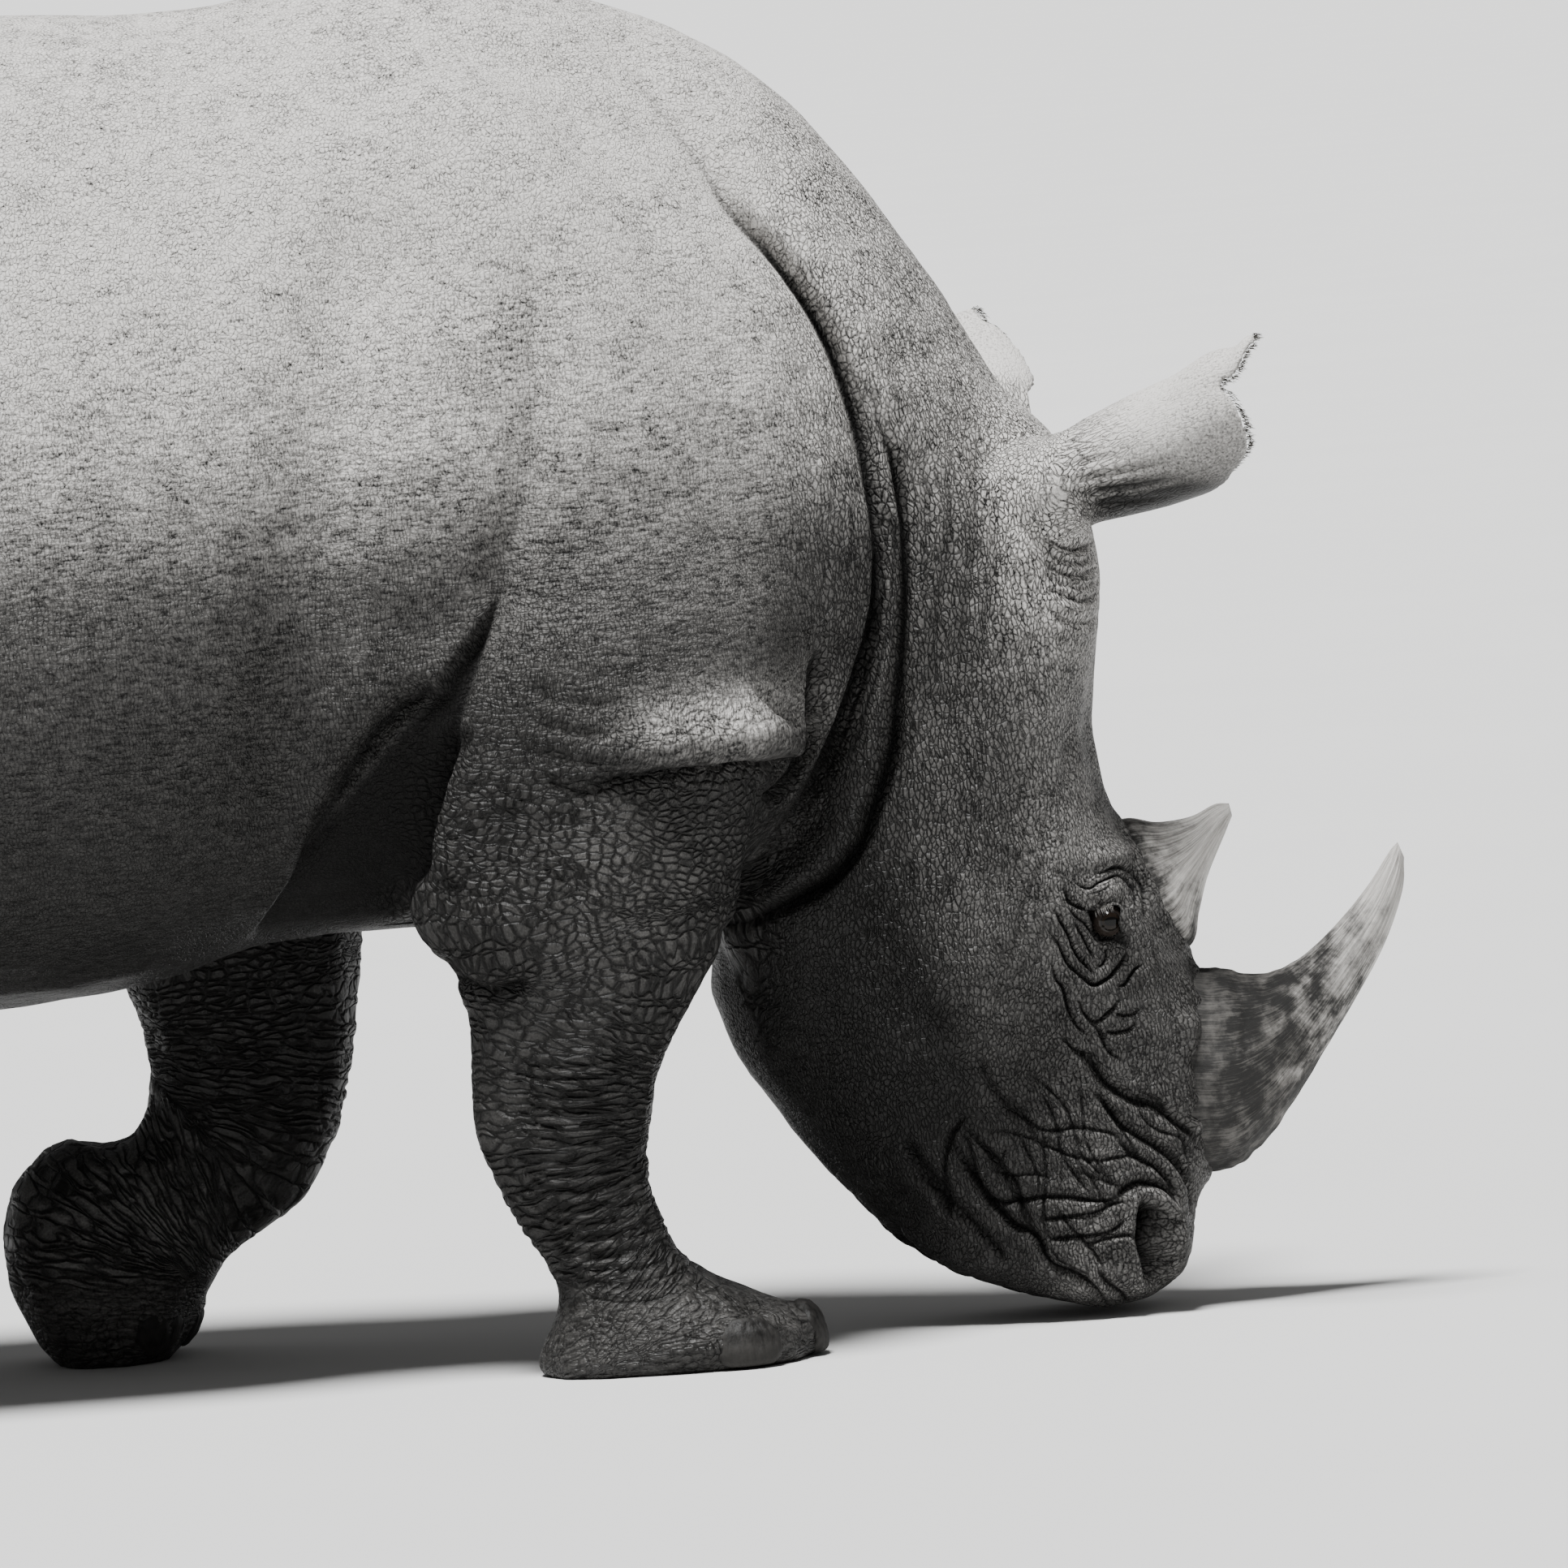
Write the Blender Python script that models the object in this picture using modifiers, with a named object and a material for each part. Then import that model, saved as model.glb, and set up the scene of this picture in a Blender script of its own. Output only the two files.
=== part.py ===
"""White rhinoceros, a still life-size model walking with its head down to graze.

Metres, +X toward the muzzle, +Y the animal's left, +Z up. The near foreleg is the right one.
The flesh is lofted through cross-sections, fused, smoothed and parted with thin cuts; horns,
ears, eyes, toenails and tail are solids of their own seated on it.
"""
import math

import bmesh
import bpy
import numpy as np
from mathutils import Matrix, Vector
from mathutils.bvhtree import BVHTree

# Heights of the back and belly.
HUMP = 1.728
SADDLE = 1.686
CROUP = 1.716
BELLY = 0.474
BRISKET = 0.532

# Half widths of the body.
BARREL = 0.490
SHOULDERS = 0.395
HIPS = 0.440
NECK = 0.300
CHEEK = 0.188
MUZZLE = 0.143

# Sideways places of the limbs and the size of the feet.
FORE_Y = 0.285
HIND_Y = 0.270
FOREFOOT = 0.142
HINDFOOT = 0.128
NAIL = (0.046, 0.021, 0.038)
NAIL_SUNK = 0.009

# Head fittings.
EYE = (0.570, 0.490)
EYE_RADIUS = 0.021
EAR_LENGTH = 0.300
EAR_WALL = 0.013

# Meshing and clearance.
VOXEL = 0.017
FLESH_TRIANGLES = 2800
GAP = 0.0004
RING = 28

COLLECTION = "rhinoceros"

for old in list(bpy.data.objects):
    bpy.data.objects.remove(old, do_unlink=True)
parts = bpy.data.collections.new(COLLECTION)
bpy.context.scene.collection.children.link(parts)
cutters = bpy.data.collections.new("cutters")
bpy.context.scene.collection.children.link(cutters)
cutters.hide_render = True


def material(name, colour, roughness):
    """A plain Principled material."""
    made = bpy.data.materials.new(name)
    made.use_nodes = True
    shader = made.node_tree.nodes["Principled BSDF"]
    shader.inputs["Base Color"].default_value = (*colour, 1.0)
    shader.inputs["Roughness"].default_value = roughness
    shader.inputs["Metallic"].default_value = 0.0
    return made


SKIN = material("skin", (0.29, 0.28, 0.27), 0.82)
HORN = material("horn", (0.33, 0.31, 0.28), 0.62)
NAILS = material("nails", (0.22, 0.21, 0.19), 0.60)
EYES = material("eyes", (0.02, 0.018, 0.015), 0.12)


def put(name, verts, faces, paint=SKIN, home=parts):
    """A mesh object with its normals outward."""
    data = bpy.data.meshes.new(name)
    data.from_pydata([tuple(v) for v in verts], [], faces)
    work = bmesh.new()
    work.from_mesh(data)
    bmesh.ops.recalc_face_normals(work, faces=work.faces)
    work.to_mesh(data)
    work.free()
    data.materials.append(paint)
    made = bpy.data.objects.new(name, data)
    home.objects.link(made)
    if home is cutters:
        made.hide_render = True
        made.display_type = "WIRE"
    return made


def curve(rows, steps):
    """Rows of numbers made smooth: a curve through every row, each gap in so many steps."""
    rows = np.array(rows, float)
    padded = np.vstack([2 * rows[0] - rows[1], rows, 2 * rows[-1] - rows[-2]])
    out = []
    for i in range(len(rows) - 1):
        a, b, c, d = padded[i:i + 4]
        for k in range(steps):
            t = k / steps
            bend = (2 * a - 5 * b + 4 * c - d) * t * t + (3 * b - a - 3 * c + d) * t ** 3
            out.append(0.5 * (2 * b + (c - a) * t + bend))
    out.append(rows[-1])
    return np.array(out)


def section(row, count=RING):
    """One closed cross-section between an upper and a lower edge.

    Row: upper x, upper z, lower x, lower z, middle y, half width, where it is widest,
    fullness above, fullness below.
    """
    ux, uz, lx, lz, y, half, wide, above, below = row
    upper = np.array([ux, y, uz])
    lower = np.array([lx, y, lz])
    middle = upper + wide * (lower - upper)
    ring = []
    for i in range(count):
        turn = math.tau * (i + 0.5) / count
        c = math.cos(turn)
        s = math.sin(turn)
        power = 2.0 / (above if s >= 0 else below)
        reach = (upper if s >= 0 else lower) - middle
        side = half * math.copysign(abs(c) ** power, c)
        ring.append(middle + reach * abs(s) ** power + np.array([0.0, side, 0.0]))
    return ring


def skin_over(name, rings, paint=SKIN, home=parts):
    """Rings joined into one closed body with rounded ends."""
    count = len(rings[0])
    verts = [point for ring in rings for point in ring]
    faces = []
    for r in range(len(rings) - 1):
        for i in range(count):
            j = (i + 1) % count
            faces.append((r * count + i, r * count + j, (r + 1) * count + j, (r + 1) * count + i))
    for start, ring in ((0, rings[0]), ((len(rings) - 1) * count, rings[-1])):
        verts.append(np.mean(ring, axis=0))
        hub = len(verts) - 1
        faces += [(hub, start + i, start + (i + 1) % count) for i in range(count)]
    return put(name, verts, faces, paint, home)


def loft(name, rows, steps=3, paint=SKIN, home=parts, count=RING):
    """A body through the rows' cross-sections."""
    return skin_over(name, [section(row, count) for row in curve(rows, steps)], paint, home)


def muscle(name, centre, radii, lean=0.0, splay=0.0, segments=24):
    """An ellipsoid of muscle, leaned about Y and splayed about X."""
    bpy.ops.mesh.primitive_uv_sphere_add(segments=segments, ring_count=segments // 2, radius=1.0)
    made = bpy.context.object
    turn = Matrix.Rotation(math.radians(lean), 4, "Y") @ Matrix.Rotation(math.radians(splay), 4, "X")
    made.data.transform(Matrix.Translation(centre) @ turn @ Matrix.Diagonal((*radii, 1.0)))
    made.name = name
    for holder in list(made.users_collection):
        holder.objects.unlink(made)
    parts.objects.link(made)
    return made


def apply_modifier(target, kind, **settings):
    """Add one modifier, set it and apply it."""
    bpy.ops.object.select_all(action="DESELECT")
    target.select_set(True)
    bpy.context.view_layer.objects.active = target
    step = target.modifiers.new(kind.title(), kind)
    for key, value in settings.items():
        setattr(step, key, value)
    bpy.ops.object.modifier_apply(modifier=step.name)


def fused(name, pieces):
    """Several objects joined as one."""
    bpy.ops.object.select_all(action="DESELECT")
    for piece in pieces:
        piece.select_set(True)
    bpy.context.view_layer.objects.active = pieces[0]
    bpy.ops.object.join()
    pieces[0].name = name
    return pieces[0]


def coords(target):
    """The object's vertices as an array."""
    flat = np.empty(len(target.data.vertices) * 3)
    target.data.vertices.foreach_get("co", flat)
    return flat.reshape(-1, 3)


def set_coords(target, places):
    """Give the object's vertices new places."""
    target.data.vertices.foreach_set("co", places.ravel())
    target.data.update()


def copy_of(target, name):
    """A copy kept with the cutters."""
    made = target.copy()
    made.data = target.data.copy()
    made.name = name
    cutters.objects.link(made)
    made.hide_render = True
    made.display_type = "WIRE"
    return made


def boolean(target, other, operation):
    """An exact Boolean, applied, with loose crumbs dropped and the body left in triangles."""
    apply_modifier(target, "BOOLEAN", operation=operation, object=other, solver="EXACT")
    keep_largest(target)


def keep_largest(target):
    """Keep only the biggest connected shell of a mesh, welded and triangulated."""
    work = bmesh.new()
    work.from_mesh(target.data)
    bmesh.ops.remove_doubles(work, verts=work.verts, dist=0.00002)
    bmesh.ops.triangulate(work, faces=work.faces)
    unseen = set(work.verts)
    shells = []
    while unseen:
        front = [unseen.pop()]
        shell = list(front)
        while front:
            vert = front.pop()
            for edge in vert.link_edges:
                other = edge.other_vert(vert)
                if other in unseen:
                    unseen.remove(other)
                    front.append(other)
                    shell.append(other)
        shells.append(shell)
    shells.sort(key=len)
    spare = [vert for shell in shells[:-1] for vert in shell]
    bmesh.ops.delete(work, geom=spare, context="VERTS")
    work.to_mesh(target.data)
    work.free()


def cut_off(target, point, normal, name=None):
    """Part a body at a plane, leaving a thin gap. The side the normal points to becomes a new part."""
    point = Vector(point)
    normal = Vector(normal).normalized()
    taken = None
    if name:
        taken = target.copy()
        taken.data = target.data.copy()
        taken.name = name
        taken.data.name = name
        parts.objects.link(taken)
    for body, side in ((target, 1.0), (taken, -1.0)):
        if body is None:
            continue
        work = bmesh.new()
        work.from_mesh(body.data)
        bmesh.ops.bisect_plane(work, geom=work.verts[:] + work.edges[:] + work.faces[:], dist=0.00001,
                               plane_co=point - normal * side * GAP / 2, plane_no=normal * side,
                               clear_outer=True)
        rim = [edge for edge in work.edges if edge.is_boundary]
        bmesh.ops.triangle_fill(work, use_beauty=True, use_dissolve=False, edges=rim)
        bmesh.ops.recalc_face_normals(work, faces=work.faces)
        work.to_mesh(body.data)
        work.free()
        keep_largest(body)
    return taken


def take(target, cell_rows, name):
    """Part off what lies inside a lofted cell, leaving a thin gap round it."""
    taken = target.copy()
    taken.data = target.data.copy()
    taken.name = name
    taken.data.name = name
    parts.objects.link(taken)
    inner = loft(name + " cell", cell_rows, steps=1, home=cutters, count=10)
    boolean(taken, inner, "INTERSECT")
    outer = copy_of(inner, name + " cell grown")
    apply_modifier(outer, "DISPLACE", direction="NORMAL", strength=1.5 * GAP, mid_level=0.0)
    boolean(target, outer, "DIFFERENCE")
    bpy.data.objects.remove(inner, do_unlink=True)
    bpy.data.objects.remove(outer, do_unlink=True)
    return taken


# Trunk: barrel body from the buttocks to the chest, narrow along the spine and full low down.
trunk_rows = []
for x, top, bottom, half, wide, above in (
        (-2.120, 1.190, 1.010, 0.150, 0.50, 2.2),
        (-2.085, 1.335, 0.890, 0.285, 0.50, 2.2),
        (-2.000, 1.480, 0.790, 0.370, 0.50, 2.1),
        (-1.870, 1.602, 0.700, 0.415, 0.52, 2.1),
        (-1.680, 1.692, 0.610, HIPS, 0.54, 2.1),
        (-1.450, CROUP, 0.515, 0.458, 0.56, 2.1),
        (-1.080, 1.710, BELLY, BARREL, 0.58, 2.05),
        (-0.800, 1.702, BELLY, BARREL, 0.58, 2.0),
        (-0.600, SADDLE, 0.493, 0.468, 0.58, 1.9),
        (-0.440, 1.688, 0.532, 0.425, 0.57, 1.80),
        (-0.200, HUMP, BRISKET, SHOULDERS, 0.56, 1.75),
        (0.050, 1.650, 0.520, 0.350, 0.55, 1.80),
        (0.200, 1.530, 0.540, 0.270, 0.55, 2.0),
        (0.270, 1.330, 0.660, 0.160, 0.50, 2.0)):
    trunk_rows.append((x, top, x, bottom, 0.0, half, wide, above, 2.3))
flesh = [loft("trunk", trunk_rows)]

# Neck: deep and heavy, its sections fanning round the throat toward the lowered head.
flesh.append(loft("neck", [
    (-0.330, 1.650, -0.300, 0.830, 0.0, 0.260, 0.55, 1.9, 2.0),
    (-0.190, 1.722, -0.120, 0.610, 0.0, 0.330, 0.55, 1.7, 2.2),
    (0.055, 1.652, 0.040, 0.530, 0.0, 0.330, 0.55, 1.7, 2.2),
    (0.222, 1.554, 0.110, 0.510, 0.0, NECK, 0.55, 1.8, 2.2),
    (0.332, 1.424, 0.130, 0.500, 0.0, 0.272, 0.55, 1.8, 2.2),
    (0.402, 1.310, 0.140, 0.488, 0.0, 0.245, 0.55, 1.9, 2.2),
    (0.468, 1.185, 0.150, 0.482, 0.0, 0.220, 0.55, 2.0, 2.2),
    (0.520, 1.080, 0.190, 0.500, 0.0, 0.180, 0.50, 2.0, 2.0)]))

# Head: long and hanging almost upright, flat down the face and square at the muzzle.
flesh.append(loft("head", [
    (0.474, 1.155, 0.300, 0.980, 0.0, 0.105, 0.50, 2.0, 2.0),
    (0.546, 1.085, 0.220, 0.830, 0.0, 0.160, 0.45, 2.2, 2.0),
    (0.594, 0.952, 0.160, 0.680, 0.0, 0.178, 0.42, 2.5, 2.1),
    (0.588, 0.832, 0.117, 0.572, 0.0, 0.185, 0.42, 2.7, 2.1),
    (0.569, 0.718, 0.086, 0.490, 0.0, CHEEK, 0.42, 2.8, 2.2),
    (0.583, 0.628, 0.078, 0.424, 0.0, 0.186, 0.42, 2.8, 2.2),
    (0.625, 0.534, 0.098, 0.357, 0.0, 0.178, 0.42, 2.7, 2.2),
    (0.661, 0.445, 0.136, 0.292, 0.0, 0.160, 0.42, 2.6, 2.2),
    (0.682, 0.365, 0.178, 0.232, 0.0, 0.146, 0.42, 2.5, 2.2),
    (0.685, 0.286, 0.227, 0.167, 0.0, 0.137, 0.42, 2.5, 2.3),
    (0.674, 0.202, 0.283, 0.103, 0.0, 0.136, 0.42, 2.6, 2.4),
    (0.662, 0.132, 0.343, 0.061, 0.0, MUZZLE, 0.40, 2.8, 2.6),
    (0.650, 0.078, 0.420, 0.031, 0.0, 0.142, 0.40, 3.0, 2.6),
    (0.632, 0.036, 0.480, 0.014, 0.0, 0.122, 0.42, 2.8, 2.6),
    (0.598, 0.014, 0.530, 0.004, 0.0, 0.075, 0.50, 2.0, 2.0)]))

# Right foreleg, planted ahead: front edge and rear edge of each level down the limb.
right_fore = [(front, z, rear, z, -y, half, 0.5, full, full) for z, front, rear, y, half, full in (
    (1.050, 0.130, -0.220, 0.250, 0.120, 2.0),
    (0.900, 0.205, -0.270, 0.275, 0.142, 2.1),
    (0.750, 0.180, -0.290, 0.285, 0.146, 2.2),
    (0.640, 0.148, -0.284, 0.288, 0.138, 2.2),
    (0.550, 0.119, -0.276, 0.290, 0.126, 2.2),
    (0.475, 0.087, -0.222, 0.290, 0.116, 2.2),
    (0.380, 0.024, -0.218, 0.288, 0.108, 2.2),
    (0.290, -0.002, -0.219, 0.286, 0.100, 2.2),
    (0.220, -0.005, -0.192, FORE_Y, 0.093, 2.2),
    (0.140, 0.022, -0.150, FORE_Y, 0.094, 2.2),
    (0.100, 0.068, -0.126, FORE_Y, 0.108, 2.3),
    (0.066, 0.150, -0.134, FORE_Y, 0.130, 2.4),
    (0.032, 0.185, -0.156, FORE_Y, FOREFOOT, 2.5),
    (0.004, 0.176, -0.168, FORE_Y, 0.140, 2.5),
    (-0.030, 0.150, -0.150, FORE_Y, 0.125, 2.4))]
flesh.append(loft("right fore", right_fore))

# Left foreleg, trailing and about to leave the floor: wrist bent, heel up, toes down.
left_fore = [(fx, fz, rx, rz, y, half, 0.5, full, full) for fx, fz, rx, rz, y, half, full in (
    (0.100, 1.050, -0.250, 1.050, 0.250, 0.120, 2.0),
    (0.050, 0.880, -0.430, 0.880, 0.275, 0.140, 2.1),
    (-0.140, 0.750, -0.620, 0.720, 0.285, 0.140, 2.2),
    (-0.290, 0.630, -0.680, 0.590, 0.290, 0.130, 2.2),
    (-0.348, 0.525, -0.664, 0.490, 0.290, 0.118, 2.2),
    (-0.362, 0.430, -0.636, 0.400, 0.288, 0.105, 2.2),
    (-0.382, 0.325, -0.640, 0.318, FORE_Y, 0.096, 2.2),
    (-0.408, 0.245, -0.664, 0.268, FORE_Y, 0.094, 2.2),
    (-0.450, 0.180, -0.726, 0.288, FORE_Y, 0.098, 2.2),
    (-0.508, 0.144, -0.778, 0.270, FORE_Y, 0.112, 2.3),
    (-0.552, 0.112, -0.824, 0.212, FORE_Y, 0.130, 2.4),
    (-0.580, 0.070, -0.832, 0.130, FORE_Y, 0.139, 2.5),
    (-0.606, 0.034, -0.814, 0.066, FORE_Y, 0.134, 2.4),
    (-0.624, 0.004, -0.786, 0.012, FORE_Y, 0.118, 2.3),
    (-0.632, -0.030, -0.755, -0.030, FORE_Y, 0.095, 2.2))]
flesh.append(loft("left fore", left_fore))


def hind_leg(side, foot_x, hock_x, knee_x, hock_z):
    """Rows of one hind leg, planted, with its hock and knee where the stride puts them."""
    y = side * HIND_Y
    rows = []
    for x, z, ahead, behind, half, out, full in (
            (-1.690, 1.300, 0.170, 0.220, 0.140, 0.235, 2.0),
            (0.5 * (knee_x - 1.720), 1.050, 0.260, 0.310, 0.172, 0.258, 2.1),
            (knee_x - 0.060, 0.840, 0.225, 0.310, 0.168, HIND_Y, 2.2),
            (0.6 * knee_x + 0.4 * hock_x, 0.690, 0.190, 0.240, 0.148, HIND_Y, 2.2),
            (0.3 * knee_x + 0.7 * hock_x, 0.560, 0.142, 0.176, 0.124, HIND_Y, 2.2),
            (hock_x, hock_z, 0.110, 0.128, 0.103, HIND_Y, 2.2),
            (0.7 * hock_x + 0.3 * foot_x, 0.330, 0.100, 0.116, 0.094, HIND_Y, 2.2),
            (0.3 * hock_x + 0.7 * foot_x, 0.210, 0.096, 0.106, 0.092, HIND_Y, 2.2),
            (foot_x, 0.130, 0.105, 0.120, 0.103, HIND_Y, 2.3),
            (foot_x + 0.012, 0.085, 0.140, 0.130, 0.120, HIND_Y, 2.4),
            (foot_x + 0.018, 0.045, 0.158, 0.140, HINDFOOT, HIND_Y, 2.5),
            (foot_x + 0.018, 0.010, 0.152, 0.142, 0.126, HIND_Y, 2.5),
            (foot_x + 0.012, -0.030, 0.130, 0.130, 0.112, HIND_Y, 2.4)):
        rows.append((x + ahead, z, x - behind, z, side * out, half, 0.5, full, full))
    return rows


right_hind = hind_leg(-1, -1.855, -1.900, -1.560, 0.440)
left_hind = hind_leg(1, -1.255, -1.420, -1.360, 0.430)
flesh.append(loft("right hind", right_hind))
flesh.append(loft("left hind", left_hind))

# Muscle that rounds the body out: shoulder blades, upper arms, haunches, knees, cheeks, hocks.
for side in (-1, 1):
    flesh.append(muscle("blade", (-0.080, side * 0.270, 1.180), (0.200, 0.115, 0.420), lean=-14,
                        splay=side * 5))
    flesh.append(muscle("haunch", (-1.730, side * 0.268, 1.050), (0.310, 0.188, 0.420), lean=10))
    flesh.append(muscle("cheek", (0.260, side * 0.110, 0.590), (0.175, 0.085, 0.200), lean=30))
flesh.append(muscle("right arm", (-0.060, -0.320, 0.820), (0.230, 0.115, 0.190)))
flesh.append(muscle("left arm", (-0.240, 0.320, 0.820), (0.250, 0.115, 0.190), lean=20))
flesh.append(muscle("right hamstring", (-1.900, -0.255, 0.860), (0.170, 0.130, 0.270), lean=4))
flesh.append(muscle("left hamstring", (-1.800, 0.255, 0.870), (0.180, 0.130, 0.270), lean=-24))
flesh.append(muscle("right hock", (-1.995, -HIND_Y, 0.490), (0.040, 0.055, 0.090), lean=8))
flesh.append(muscle("left hock", (-1.520, HIND_Y, 0.480), (0.040, 0.055, 0.090), lean=12))

body = fused("body", flesh)
apply_modifier(body, "REMESH", mode="VOXEL", voxel_size=VOXEL, adaptivity=0.0)
apply_modifier(body, "SMOOTH", factor=0.5, iterations=7)


def groove(places, line, width, depth, side):
    """Press a soft groove along a line of (x, z) points on one flank of the body."""
    track = curve(line, 6)
    centre_side = places[:, 1] * side > 0.03
    near = np.full(len(places), 9.0)
    for a, b in zip(track[:-1], track[1:]):
        span = b - a
        t = np.clip(((places[:, [0, 2]] - a) @ span) / (span @ span), 0.0, 1.0)
        near = np.minimum(near, np.linalg.norm(places[:, [0, 2]] - a - t[:, None] * span, axis=1))
    press = depth * np.exp(-(near / width) ** 2) * centre_side
    places[:, 1] -= side * np.minimum(press, 0.5 * np.abs(places[:, 1]))


# Folds and hollows: behind the neck, the neck roll, the flap over the forearm, armpit, flank,
# eye hollow, nostril and the corner of the mouth.
shape = coords(body)
for side in (-1, 1):
    groove(shape, [(0.05, 1.60), (0.17, 1.40), (0.27, 1.20), (0.31, 1.03), (0.29, 0.86), (0.20, 0.71)],
           0.035, 0.034, side)
    groove(shape, [(0.37, 1.06), (0.35, 0.92), (0.30, 0.78), (0.21, 0.65), (0.12, 0.56)],
           0.024, 0.022, side)
    groove(shape, [(-0.28, 1.36), (-0.33, 1.15), (-0.38, 0.95), (-0.42, 0.76)], 0.060, 0.030, side)
    groove(shape, [(-1.38, 1.25), (-1.32, 1.00), (-1.22, 0.76)], 0.070, 0.028, side)
    groove(shape, [(0.628, 0.121), (0.621, 0.081), (0.614, 0.046)], 0.014, 0.024, side)
    groove(shape, [(0.470, 0.118), (0.520, 0.070), (0.580, 0.042)], 0.012, 0.010, side)
    groove(shape, [(EYE[0] - 0.06, EYE[1] - 0.035), (EYE[0] + 0.02, EYE[1] - 0.050)], 0.022, 0.010, side)
set_coords(body, shape)

triangles = sum(len(face.vertices) - 2 for face in body.data.polygons)
apply_modifier(body, "DECIMATE", ratio=FLESH_TRIANGLES / triangles, use_collapse_triangulate=True)

# Flat soles: everything below the floor is taken off.
cut_off(body, (0.0, 0.0, -GAP / 2), (0.0, 0.0, -1.0))
places = coords(body)
places[np.abs(places[:, 2]) < 0.00006, 2] = 0.0
set_coords(body, places)


def flank(x, z, side):
    """Where the body's surface is on one side, as a distance from the middle."""
    hit = BODY_TREE.ray_cast(Vector((x, side * 1.2, z)), Vector((0.0, -side, 0.0)))
    return abs(hit[0].y)


work = bmesh.new()
work.from_mesh(body.data)
BODY_TREE = BVHTree.FromBMesh(work)
work.free()
clear = copy_of(body, "body grown")
apply_modifier(clear, "DISPLACE", direction="NORMAL", strength=1.4 * GAP, mid_level=0.0)

# Horns: keratin cones seated on the nose and the forehead, both curving up and back.
front_horn = loft("front_horn", [
    (0.628, 0.415, 0.608, 0.171, 0.0, 0.098, 0.5, 2.3, 2.3),
    (0.699, 0.411, 0.689, 0.160, 0.0, 0.102, 0.5, 2.3, 2.3),
    (0.734, 0.404, 0.735, 0.182, 0.0, 0.088, 0.5, 2.2, 2.2),
    (0.773, 0.402, 0.783, 0.236, 0.0, 0.070, 0.5, 2.1, 2.1),
    (0.813, 0.420, 0.834, 0.308, 0.0, 0.054, 0.5, 2.0, 2.0),
    (0.855, 0.454, 0.876, 0.368, 0.0, 0.042, 0.5, 2.0, 2.0),
    (0.897, 0.498, 0.912, 0.426, 0.0, 0.031, 0.5, 2.0, 2.0),
    (0.924, 0.535, 0.937, 0.486, 0.0, 0.019, 0.5, 2.0, 2.0),
    (0.938, 0.553, 0.945, 0.534, 0.0, 0.007, 0.5, 2.0, 2.0)], steps=1, paint=HORN, count=16)
rear_horn = loft("rear_horn", [
    (0.555, 0.584, 0.616, 0.425, 0.0, 0.066, 0.5, 2.2, 2.2),
    (0.603, 0.603, 0.673, 0.441, 0.0, 0.068, 0.5, 2.2, 2.2),
    (0.643, 0.596, 0.687, 0.483, 0.0, 0.052, 0.5, 2.1, 2.1),
    (0.684, 0.600, 0.700, 0.525, 0.0, 0.034, 0.5, 2.0, 2.0),
    (0.715, 0.613, 0.719, 0.565, 0.0, 0.021, 0.5, 2.0, 2.0),
    (0.734, 0.616, 0.738, 0.597, 0.0, 0.008, 0.5, 2.0, 2.0)], steps=1, paint=HORN, count=16)
boolean(front_horn, clear, "DIFFERENCE")
boolean(rear_horn, clear, "DIFFERENCE")

# Tail: hangs clear behind the buttocks from its root under the croup.
tail = loft("tail", [
    (-1.930, 1.500, -1.960, 1.390, 0.0, 0.054, 0.5, 2.0, 2.0),
    (-2.060, 1.445, -2.040, 1.340, 0.0, 0.050, 0.5, 2.0, 2.0),
    (-2.160, 1.340, -2.085, 1.285, 0.0, 0.042, 0.5, 2.0, 2.0),
    (-2.200, 1.195, -2.135, 1.175, 0.0, 0.034, 0.5, 2.0, 2.0),
    (-2.208, 1.020, -2.152, 1.015, 0.005, 0.027, 0.5, 2.0, 2.0),
    (-2.203, 0.820, -2.157, 0.818, 0.012, 0.022, 0.5, 2.0, 2.0),
    (-2.192, 0.660, -2.156, 0.660, 0.016, 0.017, 0.5, 2.0, 2.0),
    (-2.184, 0.610, -2.162, 0.610, 0.017, 0.010, 0.5, 2.0, 2.0)], steps=1, count=10)
boolean(tail, clear, "DIFFERENCE")


def ear(name, root, tip, mouth, up, paint=SKIN):
    """A cupped leaf of an ear: a rolled tube at the root that opens toward the tip."""
    root = Vector(root)
    axis = (Vector(tip) - root).normalized()
    mouth = (Vector(mouth) - axis * Vector(mouth).dot(axis)).normalized()
    across = axis.cross(mouth)
    rows = [(-0.10, 0.044, -150.0, 150.0),
            (0.06, 0.050, -148.0, 148.0),
            (0.22, 0.064, -138.0, 132.0),
            (0.42, 0.077, -122.0, 110.0),
            (0.60, 0.080, -100.0, 92.0),
            (0.76, 0.074, -66.0, 82.0),
            (0.89, 0.058, -20.0, 80.0),
            (0.985, 0.040, 30.0, 78.0)]
    turns = 8
    rings = []
    for along, radius, low, high in rows:
        centre = root + axis * EAR_LENGTH * along
        ring = []
        for shell in (radius, max(radius - EAR_WALL, radius * 0.35)):
            arc = []
            for k in range(turns + 1):
                turn = math.radians(low + (high - low) * k / turns)
                point = centre + (across * math.sin(turn) * up - mouth * math.cos(turn)) * shell
                arc.append(np.array(point + mouth * 0.25 * radius))
            ring += arc if not ring else arc[::-1]
        rings.append(ring)
    count = len(rings[0])
    verts = [point for ring in rings for point in ring]
    faces = []
    for r in range(len(rings) - 1):
        for i in range(count):
            j = (i + 1) % count
            faces.append((r * count + i, r * count + j, (r + 1) * count + j, (r + 1) * count + i))
    for start in (0, (len(rings) - 1) * count):
        for i in range(turns):
            faces.append((start + i, start + i + 1, start + count - 2 - i, start + count - 1 - i))
    made = put(name, verts, faces, paint)
    apply_modifier(made, "TRIANGULATE")
    return made


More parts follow.
